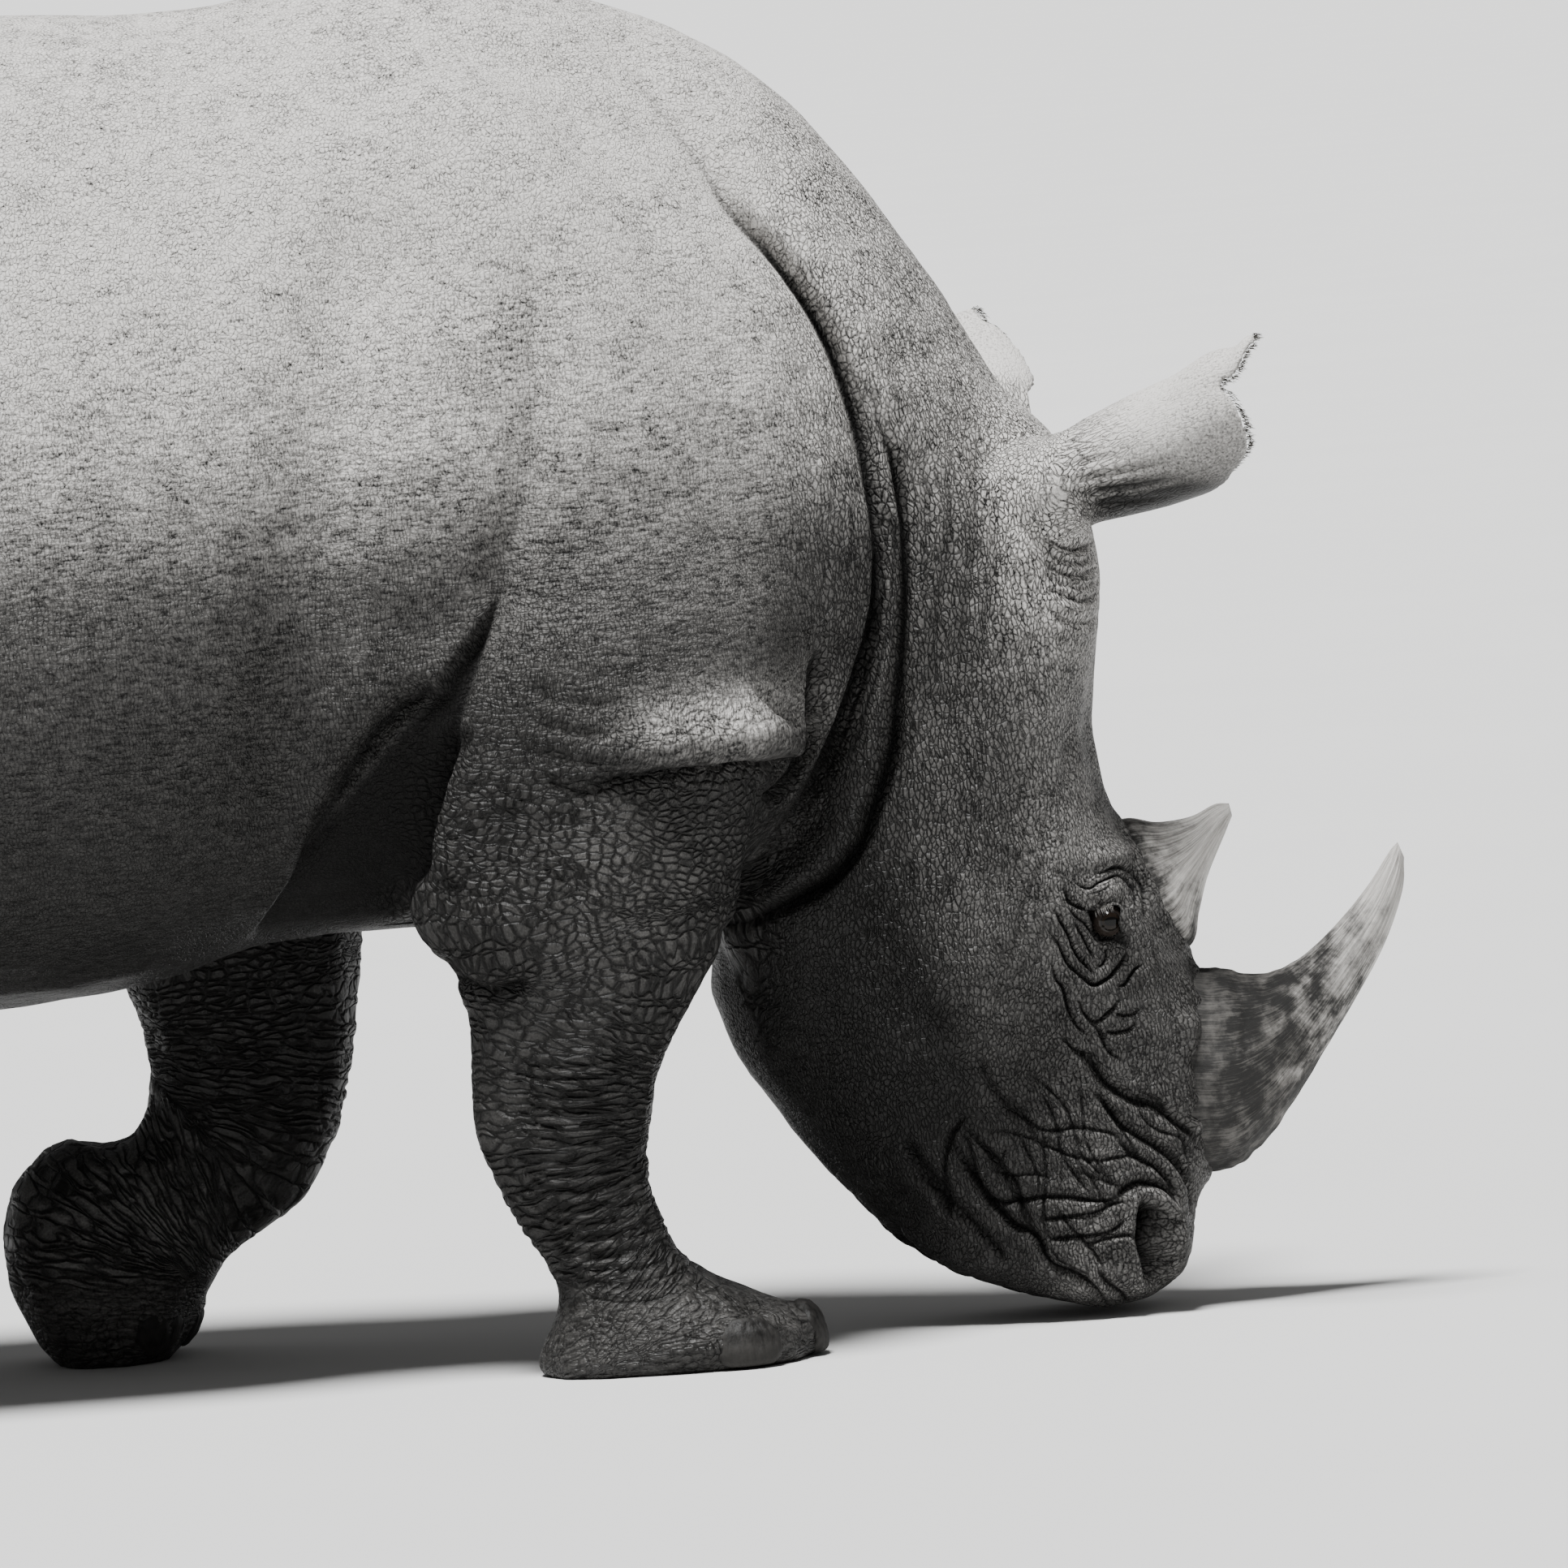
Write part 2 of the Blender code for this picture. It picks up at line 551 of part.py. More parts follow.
# Ears: the right one turned forward and down with its back outward, the left one standing higher.
right_ear = ear("right_ear", (0.545, -0.120, 1.030), (0.800, -0.235, 1.115), (0.30, 0.85, -0.20), 1)
left_ear = ear("left_ear", (0.462, 0.115, 1.065), (0.466, 0.375, 1.185), (0.85, 0.15, -0.50), -1)
boolean(right_ear, clear, "DIFFERENCE")
boolean(left_ear, clear, "DIFFERENCE")

# Eyes: whole balls sunk in their sockets.
for side, name in ((-1, "right_eye"), (1, "left_eye")):
    spot = Vector((EYE[0], side * (flank(*EYE, side) - 0.010), EYE[1]))
    for radius, label, home in (
            (EYE_RADIUS, name, parts),
            (EYE_RADIUS + 1.6 * GAP, name + " socket", cutters)):
        bpy.ops.mesh.primitive_uv_sphere_add(segments=12, ring_count=8, radius=radius)
        ball = bpy.context.object
        ball.data.transform(Matrix.Translation(spot))
        ball.name = label
        for holder in list(ball.users_collection):
            holder.objects.unlink(ball)
        home.objects.link(ball)
        ball.data.materials.append(EYES)
        if home is cutters:
            ball.hide_render = True
            ball.display_type = "WIRE"
        apply_modifier(ball, "TRIANGULATE")
    boolean(body, ball, "DIFFERENCE")

# Toenails: three broad nails round the front of each foot. The left forefoot stands on its toes,
# so its nails point down and forward.
for label, fx, fy, height, lean, spread in (
        ("right_fore", 0.012, -FORE_Y, 0.030, -17.0, 56.0),
        ("left_fore", -0.705, FORE_Y, 0.040, 24.0, 54.0),
        ("right_hind", right_hind[-1][0] - 0.130, -HIND_Y, 0.030, -17.0, 56.0),
        ("left_hind", left_hind[-1][0] - 0.130, HIND_Y, 0.030, -17.0, 56.0)):
    for angle, place in ((0.0, "middle"), (-spread, "right"), (spread, "left")):
        turn = math.radians(angle)
        outward = Vector((math.cos(turn), math.sin(turn), 0.0))
        hit, normal, _, _ = BODY_TREE.ray_cast(Vector((fx, fy, height)) + outward * 0.4, -outward)
        name = label + "_" + place + "_nail"
        nail = muscle(name, (0.0, 0.0, 0.0), (NAIL[1], NAIL[0], NAIL[2]), segments=10)
        facing = math.atan2(normal.y, normal.x)
        stand = Matrix.Rotation(math.radians(lean), 4, "Y")
        turned = Matrix.Rotation(facing, 4, "Z") @ stand
        nail.data.transform(Matrix.Translation(hit - normal * NAIL_SUNK) @ turned)
        boolean(nail, clear, "DIFFERENCE")
        cut_off(nail, (0.0, 0.0, 0.003), (0.0, 0.0, -1.0))


def grown(rows, ahead, behind, wider):
    """Limb rows let out a little, to cut the limb from the body."""
    return [(front + ahead, front_z, rear - behind, rear_z, y, half + wider, wide, above, below)
            for front, front_z, rear, rear_z, y, half, wide, above, below in rows]


# Limbs parted from the trunk: each cell follows the leg and closes over its shoulder or haunch.
right_arm = take(body, [(0.020, 1.240, -0.160, 1.240, -0.470, 0.060, 0.5, 2, 2),
                        (0.120, 1.180, -0.240, 1.180, -0.440, 0.150, 0.5, 2, 2)]
                 + grown(right_fore[1:], 0.035, 0.035, 0.055), "right_upper_arm")
left_arm = take(body, [(-0.020, 1.240, -0.260, 1.240, 0.470, 0.060, 0.5, 2, 2),
                       (0.080, 1.160, -0.340, 1.160, 0.440, 0.150, 0.5, 2, 2)]
                + grown(left_fore[1:], 0.035, 0.035, 0.055), "left_upper_arm")
right_thigh = take(body, [(-1.600, 1.420, -1.800, 1.420, -0.480, 0.060, 0.5, 2, 2)]
                   + grown(right_hind, 0.040, 0.040, 0.085), "right_thigh")
left_thigh = take(body, [(-1.560, 1.420, -1.760, 1.420, 0.480, 0.060, 0.5, 2, 2)]
                  + grown(left_hind, 0.040, 0.040, 0.085), "left_thigh")

# Joints of the limbs.
right_forearm = cut_off(right_arm, (-0.090, 0.0, 0.545), (0.10, 0.0, -1.0), "right_forearm")
right_forefoot = cut_off(right_forearm, (-0.080, 0.0, 0.175), (0.0, 0.0, -1.0), "right_forefoot")
left_forearm = cut_off(left_arm, (-0.480, 0.0, 0.575), (-0.10, 0.0, -1.0), "left_forearm")
left_forefoot = cut_off(left_forearm, (-0.545, 0.0, 0.245), (-0.42, 0.0, -1.0), "left_forefoot")
right_shank = cut_off(right_thigh, (-1.700, 0.0, 0.665), (0.20, 0.0, -1.0), "right_shank")
right_hindfoot = cut_off(right_shank, (-1.860, 0.0, 0.180), (0.0, 0.0, -1.0), "right_hindfoot")
left_shank = cut_off(left_thigh, (-1.400, 0.0, 0.665), (0.10, 0.0, -1.0), "left_shank")
left_hindfoot = cut_off(left_shank, (-1.270, 0.0, 0.180), (0.0, 0.0, -1.0), "left_hindfoot")

# Trunk, neck and head.
neck = cut_off(body, (0.000, 0.0, 1.700), (1.200, 0.0, 0.060), "neck")
head = cut_off(neck, (0.090, 0.0, 0.500), (0.750, 0.0, -0.380), "head")
body.name = "trunk"
body.data.name = "trunk"

bpy.data.objects.remove(clear, do_unlink=True)
for socket in list(cutters.objects):
    bpy.data.objects.remove(socket, do_unlink=True)

# The stations count from the right forefoot. The origin goes to the middle of the box, on the floor.
every = np.vstack([coords(piece) for piece in parts.objects])
middle = (every.min(axis=0) + every.max(axis=0)) / 2
for piece in parts.objects:
    piece.data.transform(Matrix.Translation((-middle[0], -middle[1], 0.0)))
    piece.data.materials.clear()
    paint = SKIN
    if "horn" in piece.name:
        paint = HORN
    if "nail" in piece.name:
        paint = NAILS
    if "eye" in piece.name:
        paint = EYES
    piece.data.materials.append(paint)
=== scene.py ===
"""A life-size white rhinoceros, walking with its head down to graze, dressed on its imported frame.

Metres. +X toward the muzzle, +Y the animal's left, +Z up.
"""

import math

import bmesh
import bpy
import numpy as np
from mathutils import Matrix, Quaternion, Vector
from mathutils.bvhtree import BVHTree


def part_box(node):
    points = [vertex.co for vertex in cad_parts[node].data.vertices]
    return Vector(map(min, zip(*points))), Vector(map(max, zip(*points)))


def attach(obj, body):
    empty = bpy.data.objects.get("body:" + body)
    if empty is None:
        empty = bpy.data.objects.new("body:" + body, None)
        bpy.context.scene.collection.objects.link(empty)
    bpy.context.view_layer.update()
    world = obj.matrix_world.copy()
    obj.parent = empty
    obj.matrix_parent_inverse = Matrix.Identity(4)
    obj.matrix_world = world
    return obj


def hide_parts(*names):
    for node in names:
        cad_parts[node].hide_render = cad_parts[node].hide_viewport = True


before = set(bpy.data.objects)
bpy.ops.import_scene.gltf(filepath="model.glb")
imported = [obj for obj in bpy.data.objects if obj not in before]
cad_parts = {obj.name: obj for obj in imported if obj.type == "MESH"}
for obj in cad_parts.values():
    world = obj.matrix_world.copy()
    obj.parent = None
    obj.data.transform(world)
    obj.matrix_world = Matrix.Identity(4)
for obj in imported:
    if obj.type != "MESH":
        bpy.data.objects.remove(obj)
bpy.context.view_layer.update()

# Body under the hide. Trunk, neck, head, tail and limbs are one unbroken body of flesh. The lumps are
# welded, let out a hair so that they overlap, fused, and eased until no facet or cut shows. The lumps
# of the toenails are drawn in before they are fused, so that each nail's own piece covers its bed.
FLESH = ("trunk", "neck", "head", "tail",
         "right_upper_arm", "right_forearm", "right_forefoot",
         "left_upper_arm", "left_forearm", "left_forefoot",
         "right_thigh", "right_shank", "right_hindfoot",
         "left_thigh", "left_shank", "left_hindfoot")
NAILS = [limb + "_" + toe + "_nail" for limb in ("right_fore", "left_fore", "right_hind", "left_hind")
         for toe in ("middle", "right", "left")]
LET_OUT = 0.0006
DRAWN_IN = -0.0020
BODY_VOXEL = 0.008
BODY_ROUNDS = 70
SOLE_TOP = 0.012


def coords(body):
    """The body's vertices as an array."""
    flat = np.empty(len(body.data.vertices) * 3)
    body.data.vertices.foreach_get("co", flat)
    return flat.reshape(-1, 3)


def set_coords(body, places):
    """Give the body's vertices new places."""
    body.data.vertices.foreach_set("co", places.ravel())
    body.data.update()


def outward(body):
    """The direction each vertex faces."""
    flat = np.empty(len(body.data.vertices) * 3, np.float32)
    body.data.vertex_normals.foreach_get("vector", flat)
    return flat.reshape(-1, 3).astype(float)


def placed(name, data):
    """A new object in the scene for a mesh, a lamp or a camera."""
    body = bpy.data.objects.new(name, data)
    bpy.context.scene.collection.objects.link(body)
    return body


def only(*bodies):
    """Select these bodies and no others, with the first one active."""
    bpy.ops.object.select_all(action="DESELECT")
    for body in bodies:
        body.select_set(True)
    bpy.context.view_layer.objects.active = bodies[0]


def apply_modifier(body, kind, **settings):
    """Add one modifier, set it and apply it."""
    only(body)
    step = body.modifiers.new(kind.title(), kind)
    for key, value in settings.items():
        setattr(step, key, value)
    bpy.ops.object.modifier_apply(modifier=step.name)


def welded_copy(node, name):
    """A welded copy of a packed lump as an object of its own."""
    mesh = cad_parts[node].data.copy()
    mesh.materials.clear()
    work = bmesh.new()
    work.from_mesh(mesh)
    bmesh.ops.remove_doubles(work, verts=work.verts, dist=0.00001)
    work.to_mesh(mesh)
    work.free()
    return placed(name, mesh)


def joined(name, bodies):
    """Several bodies as one object."""
    only(*bodies)
    bpy.ops.object.join()
    bodies[0].name = name
    bodies[0].data.name = name
    return bodies[0]


def eased(body, rounds, yielding=1.0):
    """The body's vertices drawn toward their neighbours' middle, with the lost fullness given back.

    Where yielding is 0 they stay as they are, and between 0 and 1 they move that much less.
    """
    edges = np.empty(len(body.data.edges) * 2, np.int32)
    body.data.edges.foreach_get("vertices", edges)
    a, b = edges.reshape(-1, 2).T
    start = coords(body)
    count = len(start)
    shares = np.bincount(edges, minlength=count)[:, None]
    pace = 0.5 * np.broadcast_to(yielding, count)[:, None]

    def drawn(values):
        for _ in range(rounds):
            total = np.empty_like(values)
            for k in range(3):
                total[:, k] = np.bincount(a, values[b, k], count)
                total[:, k] += np.bincount(b, values[a, k], count)
            values = values + pace * (total / shares - values)
        return values

    low = drawn(start)
    return low + drawn(start - low)


def ramp(values, low, high):
    """0 below low, 1 above high, smooth between. It falls instead where high is under low."""
    t = np.clip((values - low) / (high - low), 0.0, 1.0)
    return t * t * (3.0 - 2.0 * t)


lumps = []
for buried in list(FLESH) + NAILS:
    lump = welded_copy(buried, "lump_" + buried)
    growth = DRAWN_IN if buried in NAILS else LET_OUT
    apply_modifier(lump, "DISPLACE", direction="NORMAL", strength=growth, mid_level=0.0)
    lumps.append(lump)
hide = joined("hide", lumps)
apply_modifier(hide, "REMESH", mode="VOXEL", voxel_size=BODY_VOXEL)
form = coords(hide)
# The trunk and neck are eased most, the head and legs less, the hanging tail least, the soles not at all.
soft = 0.25 + 0.75 * ramp(form[:, 2], 0.50, 0.75) * ramp(form[:, 0], 1.02, 0.85)
soft *= ramp(form[:, 0], -1.50, -1.42)
sole = form[:, 2] < SOLE_TOP
form = eased(hide, BODY_ROUNDS, np.where(sole, 0.0, np.maximum(soft, 0.06)))
form = np.where(sole[:, None], coords(hide), form)
set_coords(hide, form)

# Ears: a cupped leaf of cartilage and thin skin on each side of the crown. Each is a tube at the
# root that opens toward the tip, with a notch in the outer margin, and grows out of the hide.
HIDE_VOXEL = 0.0047
HIDE_ROUNDS = 10
EAR_LENGTH = 0.300
WALL_POINTS = 33
# Share of the length, radius, the wall's two margins in degrees from the cup's back, thickness.
EAR_ROWS = ((-0.20, 0.078, -164.0, 164.0, 0.024),
            (-0.06, 0.066, -160.0, 160.0, 0.020),
            (0.08, 0.060, -152.0, 150.0, 0.016),
            (0.22, 0.066, -140.0, 134.0, 0.014),
            (0.42, 0.072, -126.0, 112.0, 0.012),
            (0.60, 0.074, -106.0, 96.0, 0.011),
            (0.70, 0.073, -96.0, 92.0, 0.010),
            (0.78, 0.070, -88.0, 90.0, 0.010),
            (0.82, 0.067, -70.0, 89.0, 0.010),
            (0.855, 0.063, -50.0, 88.0, 0.010),
            (0.875, 0.060, -28.0, 87.0, 0.010),
            (0.885, 0.058, 8.0, 86.0, 0.010),
            (0.94, 0.056, 9.0, 84.0, 0.009),
            (0.97, 0.050, 19.0, 82.0, 0.009),
            (1.00, 0.036, 42.0, 76.0, 0.008))


def flowing(rows, steps):
    """Rows of numbers joined by a smooth curve through every row."""
    rows = np.array(rows, float)
    padded = np.vstack([2 * rows[0] - rows[1], rows, 2 * rows[-1] - rows[-2]])
    out = []
    for i in range(len(rows) - 1):
        a, b, c, d = padded[i:i + 4]
        for k in range(steps):
            t = k / steps
            bend = (2 * a - 5 * b + 4 * c - d) * t * t + (3 * b - a - 3 * c + d) * t ** 3
            out.append(0.5 * (2 * b + (c - a) * t + bend))
    out.append(rows[-1])
    return np.array(out)


def ear_frame(root, tip, mouth):
    """The ear's own directions: along it, out of its open side, and across."""
    root = np.array(root)
    axis = np.array(tip) - root
    axis /= np.linalg.norm(axis)
    mouth = np.array(mouth) - axis * (np.array(mouth) @ axis)
    mouth /= np.linalg.norm(mouth)
    return root, axis, mouth, np.cross(axis, mouth)


def bell(values, middle, spread):
    """1 at the middle, falling away smoothly on both sides of it."""
    return np.exp(-((values - middle) / spread) ** 2)


def ear_point(fitting, up, along, radius, turn):
    """A point on the ear's shell, so far along it and turned so far from the back of the cup."""
    root, axis, mouth, across = fitting
    swing = across * math.sin(turn) * up - mouth * math.cos(turn)
    notch = 0.030 * bell(turn, 0.16, 0.22) * ramp(along, 0.72, 0.86) * ramp(along, 0.97, 0.90)
    along = along + 0.05 * max(-math.sin(turn), 0.0) * ramp(along, 0.4, 0.8) - notch
    upturn = np.array((0.0, 0.0, 0.026 * ramp(along, 0.60, 0.92) + 0.020 * ramp(along, 0.92, 1.0)))
    return root + axis * EAR_LENGTH * along + swing * radius + mouth * 0.25 * radius + upturn


def closed_body(name, points, faces):
    """A body of the given faces, with many-sided ones cut into triangles and all turned outward."""
    mesh = bpy.data.meshes.new(name)
    mesh.from_pydata([tuple(point) for point in points], [], faces)
    work = bmesh.new()
    work.from_mesh(mesh)
    bmesh.ops.triangulate(work, faces=[face for face in work.faces if len(face.verts) > 4])
    bmesh.ops.recalc_face_normals(work, faces=work.faces)
    work.to_mesh(mesh)
    work.free()
    return placed(name, mesh)


def shell_of_rings(name, rings):
    """A closed body through rings of points, with flat ends."""
    count = len(rings[0])
    faces = []
    for r in range(len(rings) - 1):
        for i in range(count):
            j = (i + 1) % count
            faces.append((r * count + i, r * count + j, (r + 1) * count + j, (r + 1) * count + i))
    last = (len(rings) - 1) * count
    faces.append(tuple(range(count)))
    faces.append(tuple(range(last, last + count)))
    return closed_body(name, [point for ring in rings for point in ring], faces)


def ear_rows(up, steps):
    """The cross-sections of one ear. The left one's inner margin is rolled further round halfway up."""
    rows = flowing(EAR_ROWS, steps)
    if up < 0:
        rows[:, 3] += 34.0 * bell(rows[:, 0], 0.60, 0.20)
    return rows


def pinna(name, fitting, up):
    """One ear's cupped leaf, its wall thinning toward the margin."""
    rings = []
    for along, radius, start, end, wall in ear_rows(up, 4):
        turns = np.radians(np.linspace(start, end, WALL_POINTS))
        walls = wall * (1.0 - 0.35 * np.abs(np.linspace(-1.0, 1.0, WALL_POINTS)) ** 4)
        outer = [ear_point(fitting, up, along, radius, turn) for turn in turns]
        inner = [ear_point(fitting, up, along, radius - thick, turn) for turn, thick in zip(turns, walls)]
        rings.append(outer + inner[::-1])
    return shell_of_rings(name, rings)


RIGHT_EAR = ear_frame((1.1765, -0.120, 1.027), (1.4315, -0.235, 1.110), (0.30, 0.85, -0.20))
LEFT_EAR = ear_frame((1.0875, 0.115, 1.046), (1.0895, 0.375, 1.147), (0.95, 0.10, -0.20))
EARS = {"right_ear": (RIGHT_EAR, 1), "left_ear": (LEFT_EAR, -1)}
leaves = [pinna(ear + "_leaf", *EARS[ear]) for ear in EARS]
hide = joined("hide", [hide] + leaves)
apply_modifier(hide, "REMESH", mode="VOXEL", voxel_size=HIDE_VOXEL)
form = coords(hide)
near_root = np.zeros(len(form))
for (root, axis, _, _), _ in EARS.values():
    from_root = np.linalg.norm(form - root - axis * 0.015, axis=1)
    near_root = np.maximum(near_root, ramp(from_root, 0.14, 0.07))
form = eased(hide, HIDE_ROUNDS, 0.12 + 0.88 * near_root)
set_coords(hide, form)

# Folds. Thick hide buckles where the body bends: behind the neck, over the forearm, round the eyes
# and muzzle, at the wrists and ankles. Each fold is a crease pressed along its line, with the hide
# rolled up beside it; between them the hide breaks into pebbles and rings.
HIDE_TRIANGLES = 194000
FAR = 9.0
# Where the mesh is made finer, as middle and half size: the lower head, round the eyes, at the lids.
FINER = (((1.17, 0.0, 0.27), (0.19, 0.30, 0.30)),
         ((1.202, 0.0, 0.475), (0.095, 0.30, 0.100)),
         ((1.202, 0.0, 0.482), (0.048, 0.30, 0.048)))
work = bmesh.new()
work.from_mesh(hide.data)
for middle, half in FINER:
    inside = []
    for face in work.faces:
        centre = face.calc_center_median()
        if all(abs(centre[k] - middle[k]) < half[k] for k in range(3)):
            inside.append(face)
    edges = list({edge for face in inside for edge in face.edges})
    bmesh.ops.subdivide_edges(work, edges=edges, cuts=1, use_grid_fill=True)
bmesh.ops.triangulate(work, faces=[face for face in work.faces if len(face.verts) > 4])
work.to_mesh(hide.data)
work.free()
form = coords(hide)
set_coords(hide, eased(hide, 3, ramp(form[:, 0], 0.95, 1.00) * ramp(form[:, 2], 0.64, 0.60)))

# For each vertex: how far to lift it, where to pull it, how much painted shade darkens it in a fold,
# crack or hollow, how far from the nearest fold's line and on which hand, in line widths, and how dark
# the painted shade line at that fold's bottom is.
form = coords(hide)
facing = outward(hide)
lift = np.zeros(len(form))
pull = np.zeros((len(form), 3))
crease = np.zeros(len(form))
nearest = np.full(len(form), FAR)
ruled = np.full(len(form), FAR)
ink = np.zeros(len(form))


def hashed(cells, seed):
    """A repeatable number from 0 to 1 for each whole-numbered cell."""
    a, b, c = cells.astype(np.int64).astype(np.uint32).T
    mixed = (a * np.uint32(73856093)) ^ (b * np.uint32(19349663)) ^ (c * np.uint32(83492791))
    mixed = (mixed + np.uint32(seed * 7919)) * np.uint32(2654435761)
    mixed = (mixed ^ (mixed >> np.uint32(13))) * np.uint32(1540483477)
    return (mixed ^ (mixed >> np.uint32(15))) / 4294967296.0


def haze(places, size, seed):
    """Smooth lumps from -1 to 1 of the given size, which may differ along each axis."""
    grid = places / np.array(size)
    low = np.floor(grid)
    part = grid - low
    part = part * part * (3.0 - 2.0 * part)
    total = np.zeros(len(places))
    for corner in range(8):
        step = np.array([corner & 1, corner >> 1 & 1, corner >> 2 & 1])
        weight = np.prod(np.where(step == 1, part, 1.0 - part), axis=1)
        total += weight * hashed(low + step, seed)
    return total * 2.0 - 1.0


def pebbles(places, size, seed):
    """Pebbled hide: 0 in the cracks between cells, rising to 1 on their backs."""
    grid = places / np.array(size)
    low = np.floor(grid)
    first = np.full(len(places), FAR)
    second = first.copy()
    for step in np.ndindex(3, 3, 3):
        cell = low + (np.array(step) - 1)
        away = np.zeros(len(places))
        for k in range(3):
            away += (cell[:, k] + 0.1 + 0.8 * hashed(cell, seed + k) - grid[:, k]) ** 2
        second = np.minimum(second, np.maximum(first, away))
        first = np.minimum(first, away)
    return np.clip((np.sqrt(second) - np.sqrt(first)) / 0.42, 0.0, 1.0) ** 0.6


def nearest_on(track, flat):
    """Each flat point's nearest place on a track: how far, on which hand, in which step, how far in it."""
    away = np.full(len(flat), FAR)
    hand, step, part = np.zeros((3, len(flat)))
    for i, (a, b) in enumerate(zip(track[:-1], track[1:])):
        span = b - a
        t = np.clip(((flat - a) @ span) / (span @ span), 0.0, 1.0)
        gap = flat - a - t[:, None] * span
        distance = np.linalg.norm(gap, axis=1)
        closer = distance < away
        away[closer] = distance[closer]
        hand[closer] = np.sign(span[0] * gap[:, 1] - span[1] * gap[:, 0])[closer]
        step[closer] = i
        part[closer] = t[closer]
    return away, hand, step.astype(int), part


def trace(line, reach, side):
    """Points of one flank near a line of (x, z) places: which, how far, on which hand, how far along."""
    track = flowing(line, 5)
    flat = form[:, [0, 2]]
    inside = ((flat > track.min(axis=0) - reach) & (flat < track.max(axis=0) + reach)).all(axis=1)
    pick = np.flatnonzero(inside & (form[:, 1] * side > 0.015) & (facing[:, 1] * side > -0.35))
    away, hand, step, part = nearest_on(track, flat[pick])
    close = away < reach
    return pick[close], away[close], hand[close], ((step + part) / (len(track) - 1))[close]


def fold(line, width, depth, left=0.0, right=0.0, sides=(-1, 1), ends=0.15, spread=2.6):
    """Press a crease along a line, roll the hide up on its left and right, and paint shade into the crease.

    It fades over a share of the line at both ends, and its rolls lie so many widths out.
    """
    for side in sides:
        pick, away, hand, along = trace(line, width * spread * 2.4, side)
        fade = ramp(along, 0.0, ends) * ramp(along, 1.0, 1.0 - ends)
        cut = bell(away, 0.0, width)
        roll = bell(away, spread * width, 1.1 * spread * width) * (1.0 - cut)
        lift[pick] += fade * (np.where(hand > 0, left, right) * roll - depth * cut)
        # Painted shade in the crease, and a painted shade line along its bottom.
        steep = min(max(0.5 * depth / width - 0.1, 0.0), 1.0)
        dark = bell(away, 0.0, 0.62 * width) * steep
        crease[pick] = np.maximum(crease[pick], fade * dark)
        reach = min(max(3.2 * width + 0.004, 0.008), 0.022)
        closer = away < nearest[pick]
        rows = pick[closer]
        nearest[rows] = away[closer]
        line_width = 0.0007 + 0.14 * width
        ruled[rows] = (np.where(hand > 0, away, -away) / line_width)[closer]
        strength = min(max(0.55 * depth / width - 0.06, 0.0), 1.0)
        ink[rows] = (strength * fade ** 0.5 * ramp(away, reach, 0.5 * reach))[closer]


def swell(x0, z0, across, tall, height, sides=(-1, 1)):
    """Raise a soft rounded lump of the hide."""
    for side in sides:
        lump = bell(form[:, 0], x0, across) * bell(form[:, 2], z0, tall)
        lift[:] += height * lump * ramp(form[:, 1] * side, 0.02, 0.06)


# Neck and shoulder. The shoulder stands proud behind the deepest fold; in front of it lies the neck
# roll, which sweeps back under the throat.
fold([(0.66, 1.619), (0.771, 1.455), (0.81, 1.388), (0.859, 1.326), (0.903, 1.249), (0.931, 1.168),
      (0.946, 1.089), (0.954, 1.01), (0.952, 0.931), (0.938, 0.863), (0.901, 0.767), (0.87, 0.706),
      (0.844, 0.667), (0.81, 0.629), (0.775, 0.591)], 0.010, 0.030, 0.010, 0.012, ends=0.3)
fold([(0.955, 1.19), (0.968, 1.114), (0.983, 1.064), (0.988, 0.995), (0.985, 0.926), (0.976, 0.857),
      (0.964, 0.779), (0.956, 0.724), (0.93, 0.657), (0.908, 0.609), (0.869, 0.571), (0.823, 0.547),
      (0.761, 0.524), (0.70, 0.510)], 0.009, 0.024, 0.004, 0.013, ends=0.2)
fold([(0.969, 1.01), (0.970, 0.95), (0.956, 0.86), (0.925, 0.774), (0.899, 0.707)],
     0.005, 0.007, 0.002, 0.002)
fold([(0.876, 0.86), (0.863, 0.808), (0.851, 0.737), (0.835, 0.706), (0.809, 0.681), (0.791, 0.674)],
     0.008, 0.018, 0.004, 0.006)
for shift, depth in ((0.0, 0.006), (0.034, 0.005), (0.062, 0.003), (-0.026, 0.004)):
    fold([(1.047 + shift, 1.117), (1.048 + shift, 1.038), (1.036 + shift, 0.94), (1.014 + shift, 0.843),
          (0.995 + shift, 0.745)], 0.009, depth, 0.002, 0.002, ends=0.35)

# Flap over the forearm: a thick lip of hide that hangs over the top of the foreleg.
FLAP = [(0.545, 0.690), (0.594, 0.719), (0.627, 0.729), (0.659, 0.734), (0.689, 0.737), (0.74, 0.737),
        (0.788, 0.736), (0.815, 0.733), (0.842, 0.742), (0.861, 0.783)]
for side in (-1, 1):
    pick, away, hand, along = trace(FLAP, 0.11, side)
    over = (hand > 0) * ramp(along, 0.05, 0.45) * ramp(along, 1.0, 0.80)
    lift[pick] += 0.026 * over * bell(away, 0.026, 0.030)
    pull[pick, 2] -= 0.012 * over * bell(away, 0.0, 0.022)
    under = (hand < 0) * ramp(along, 0.05, 0.4) * ramp(along, 1.0, 0.85)
    lift[pick] -= 0.016 * under * bell(away, 0.0, 0.020)
fold(FLAP, 0.008, 0.016, 0.0, 0.0, ends=0.25)

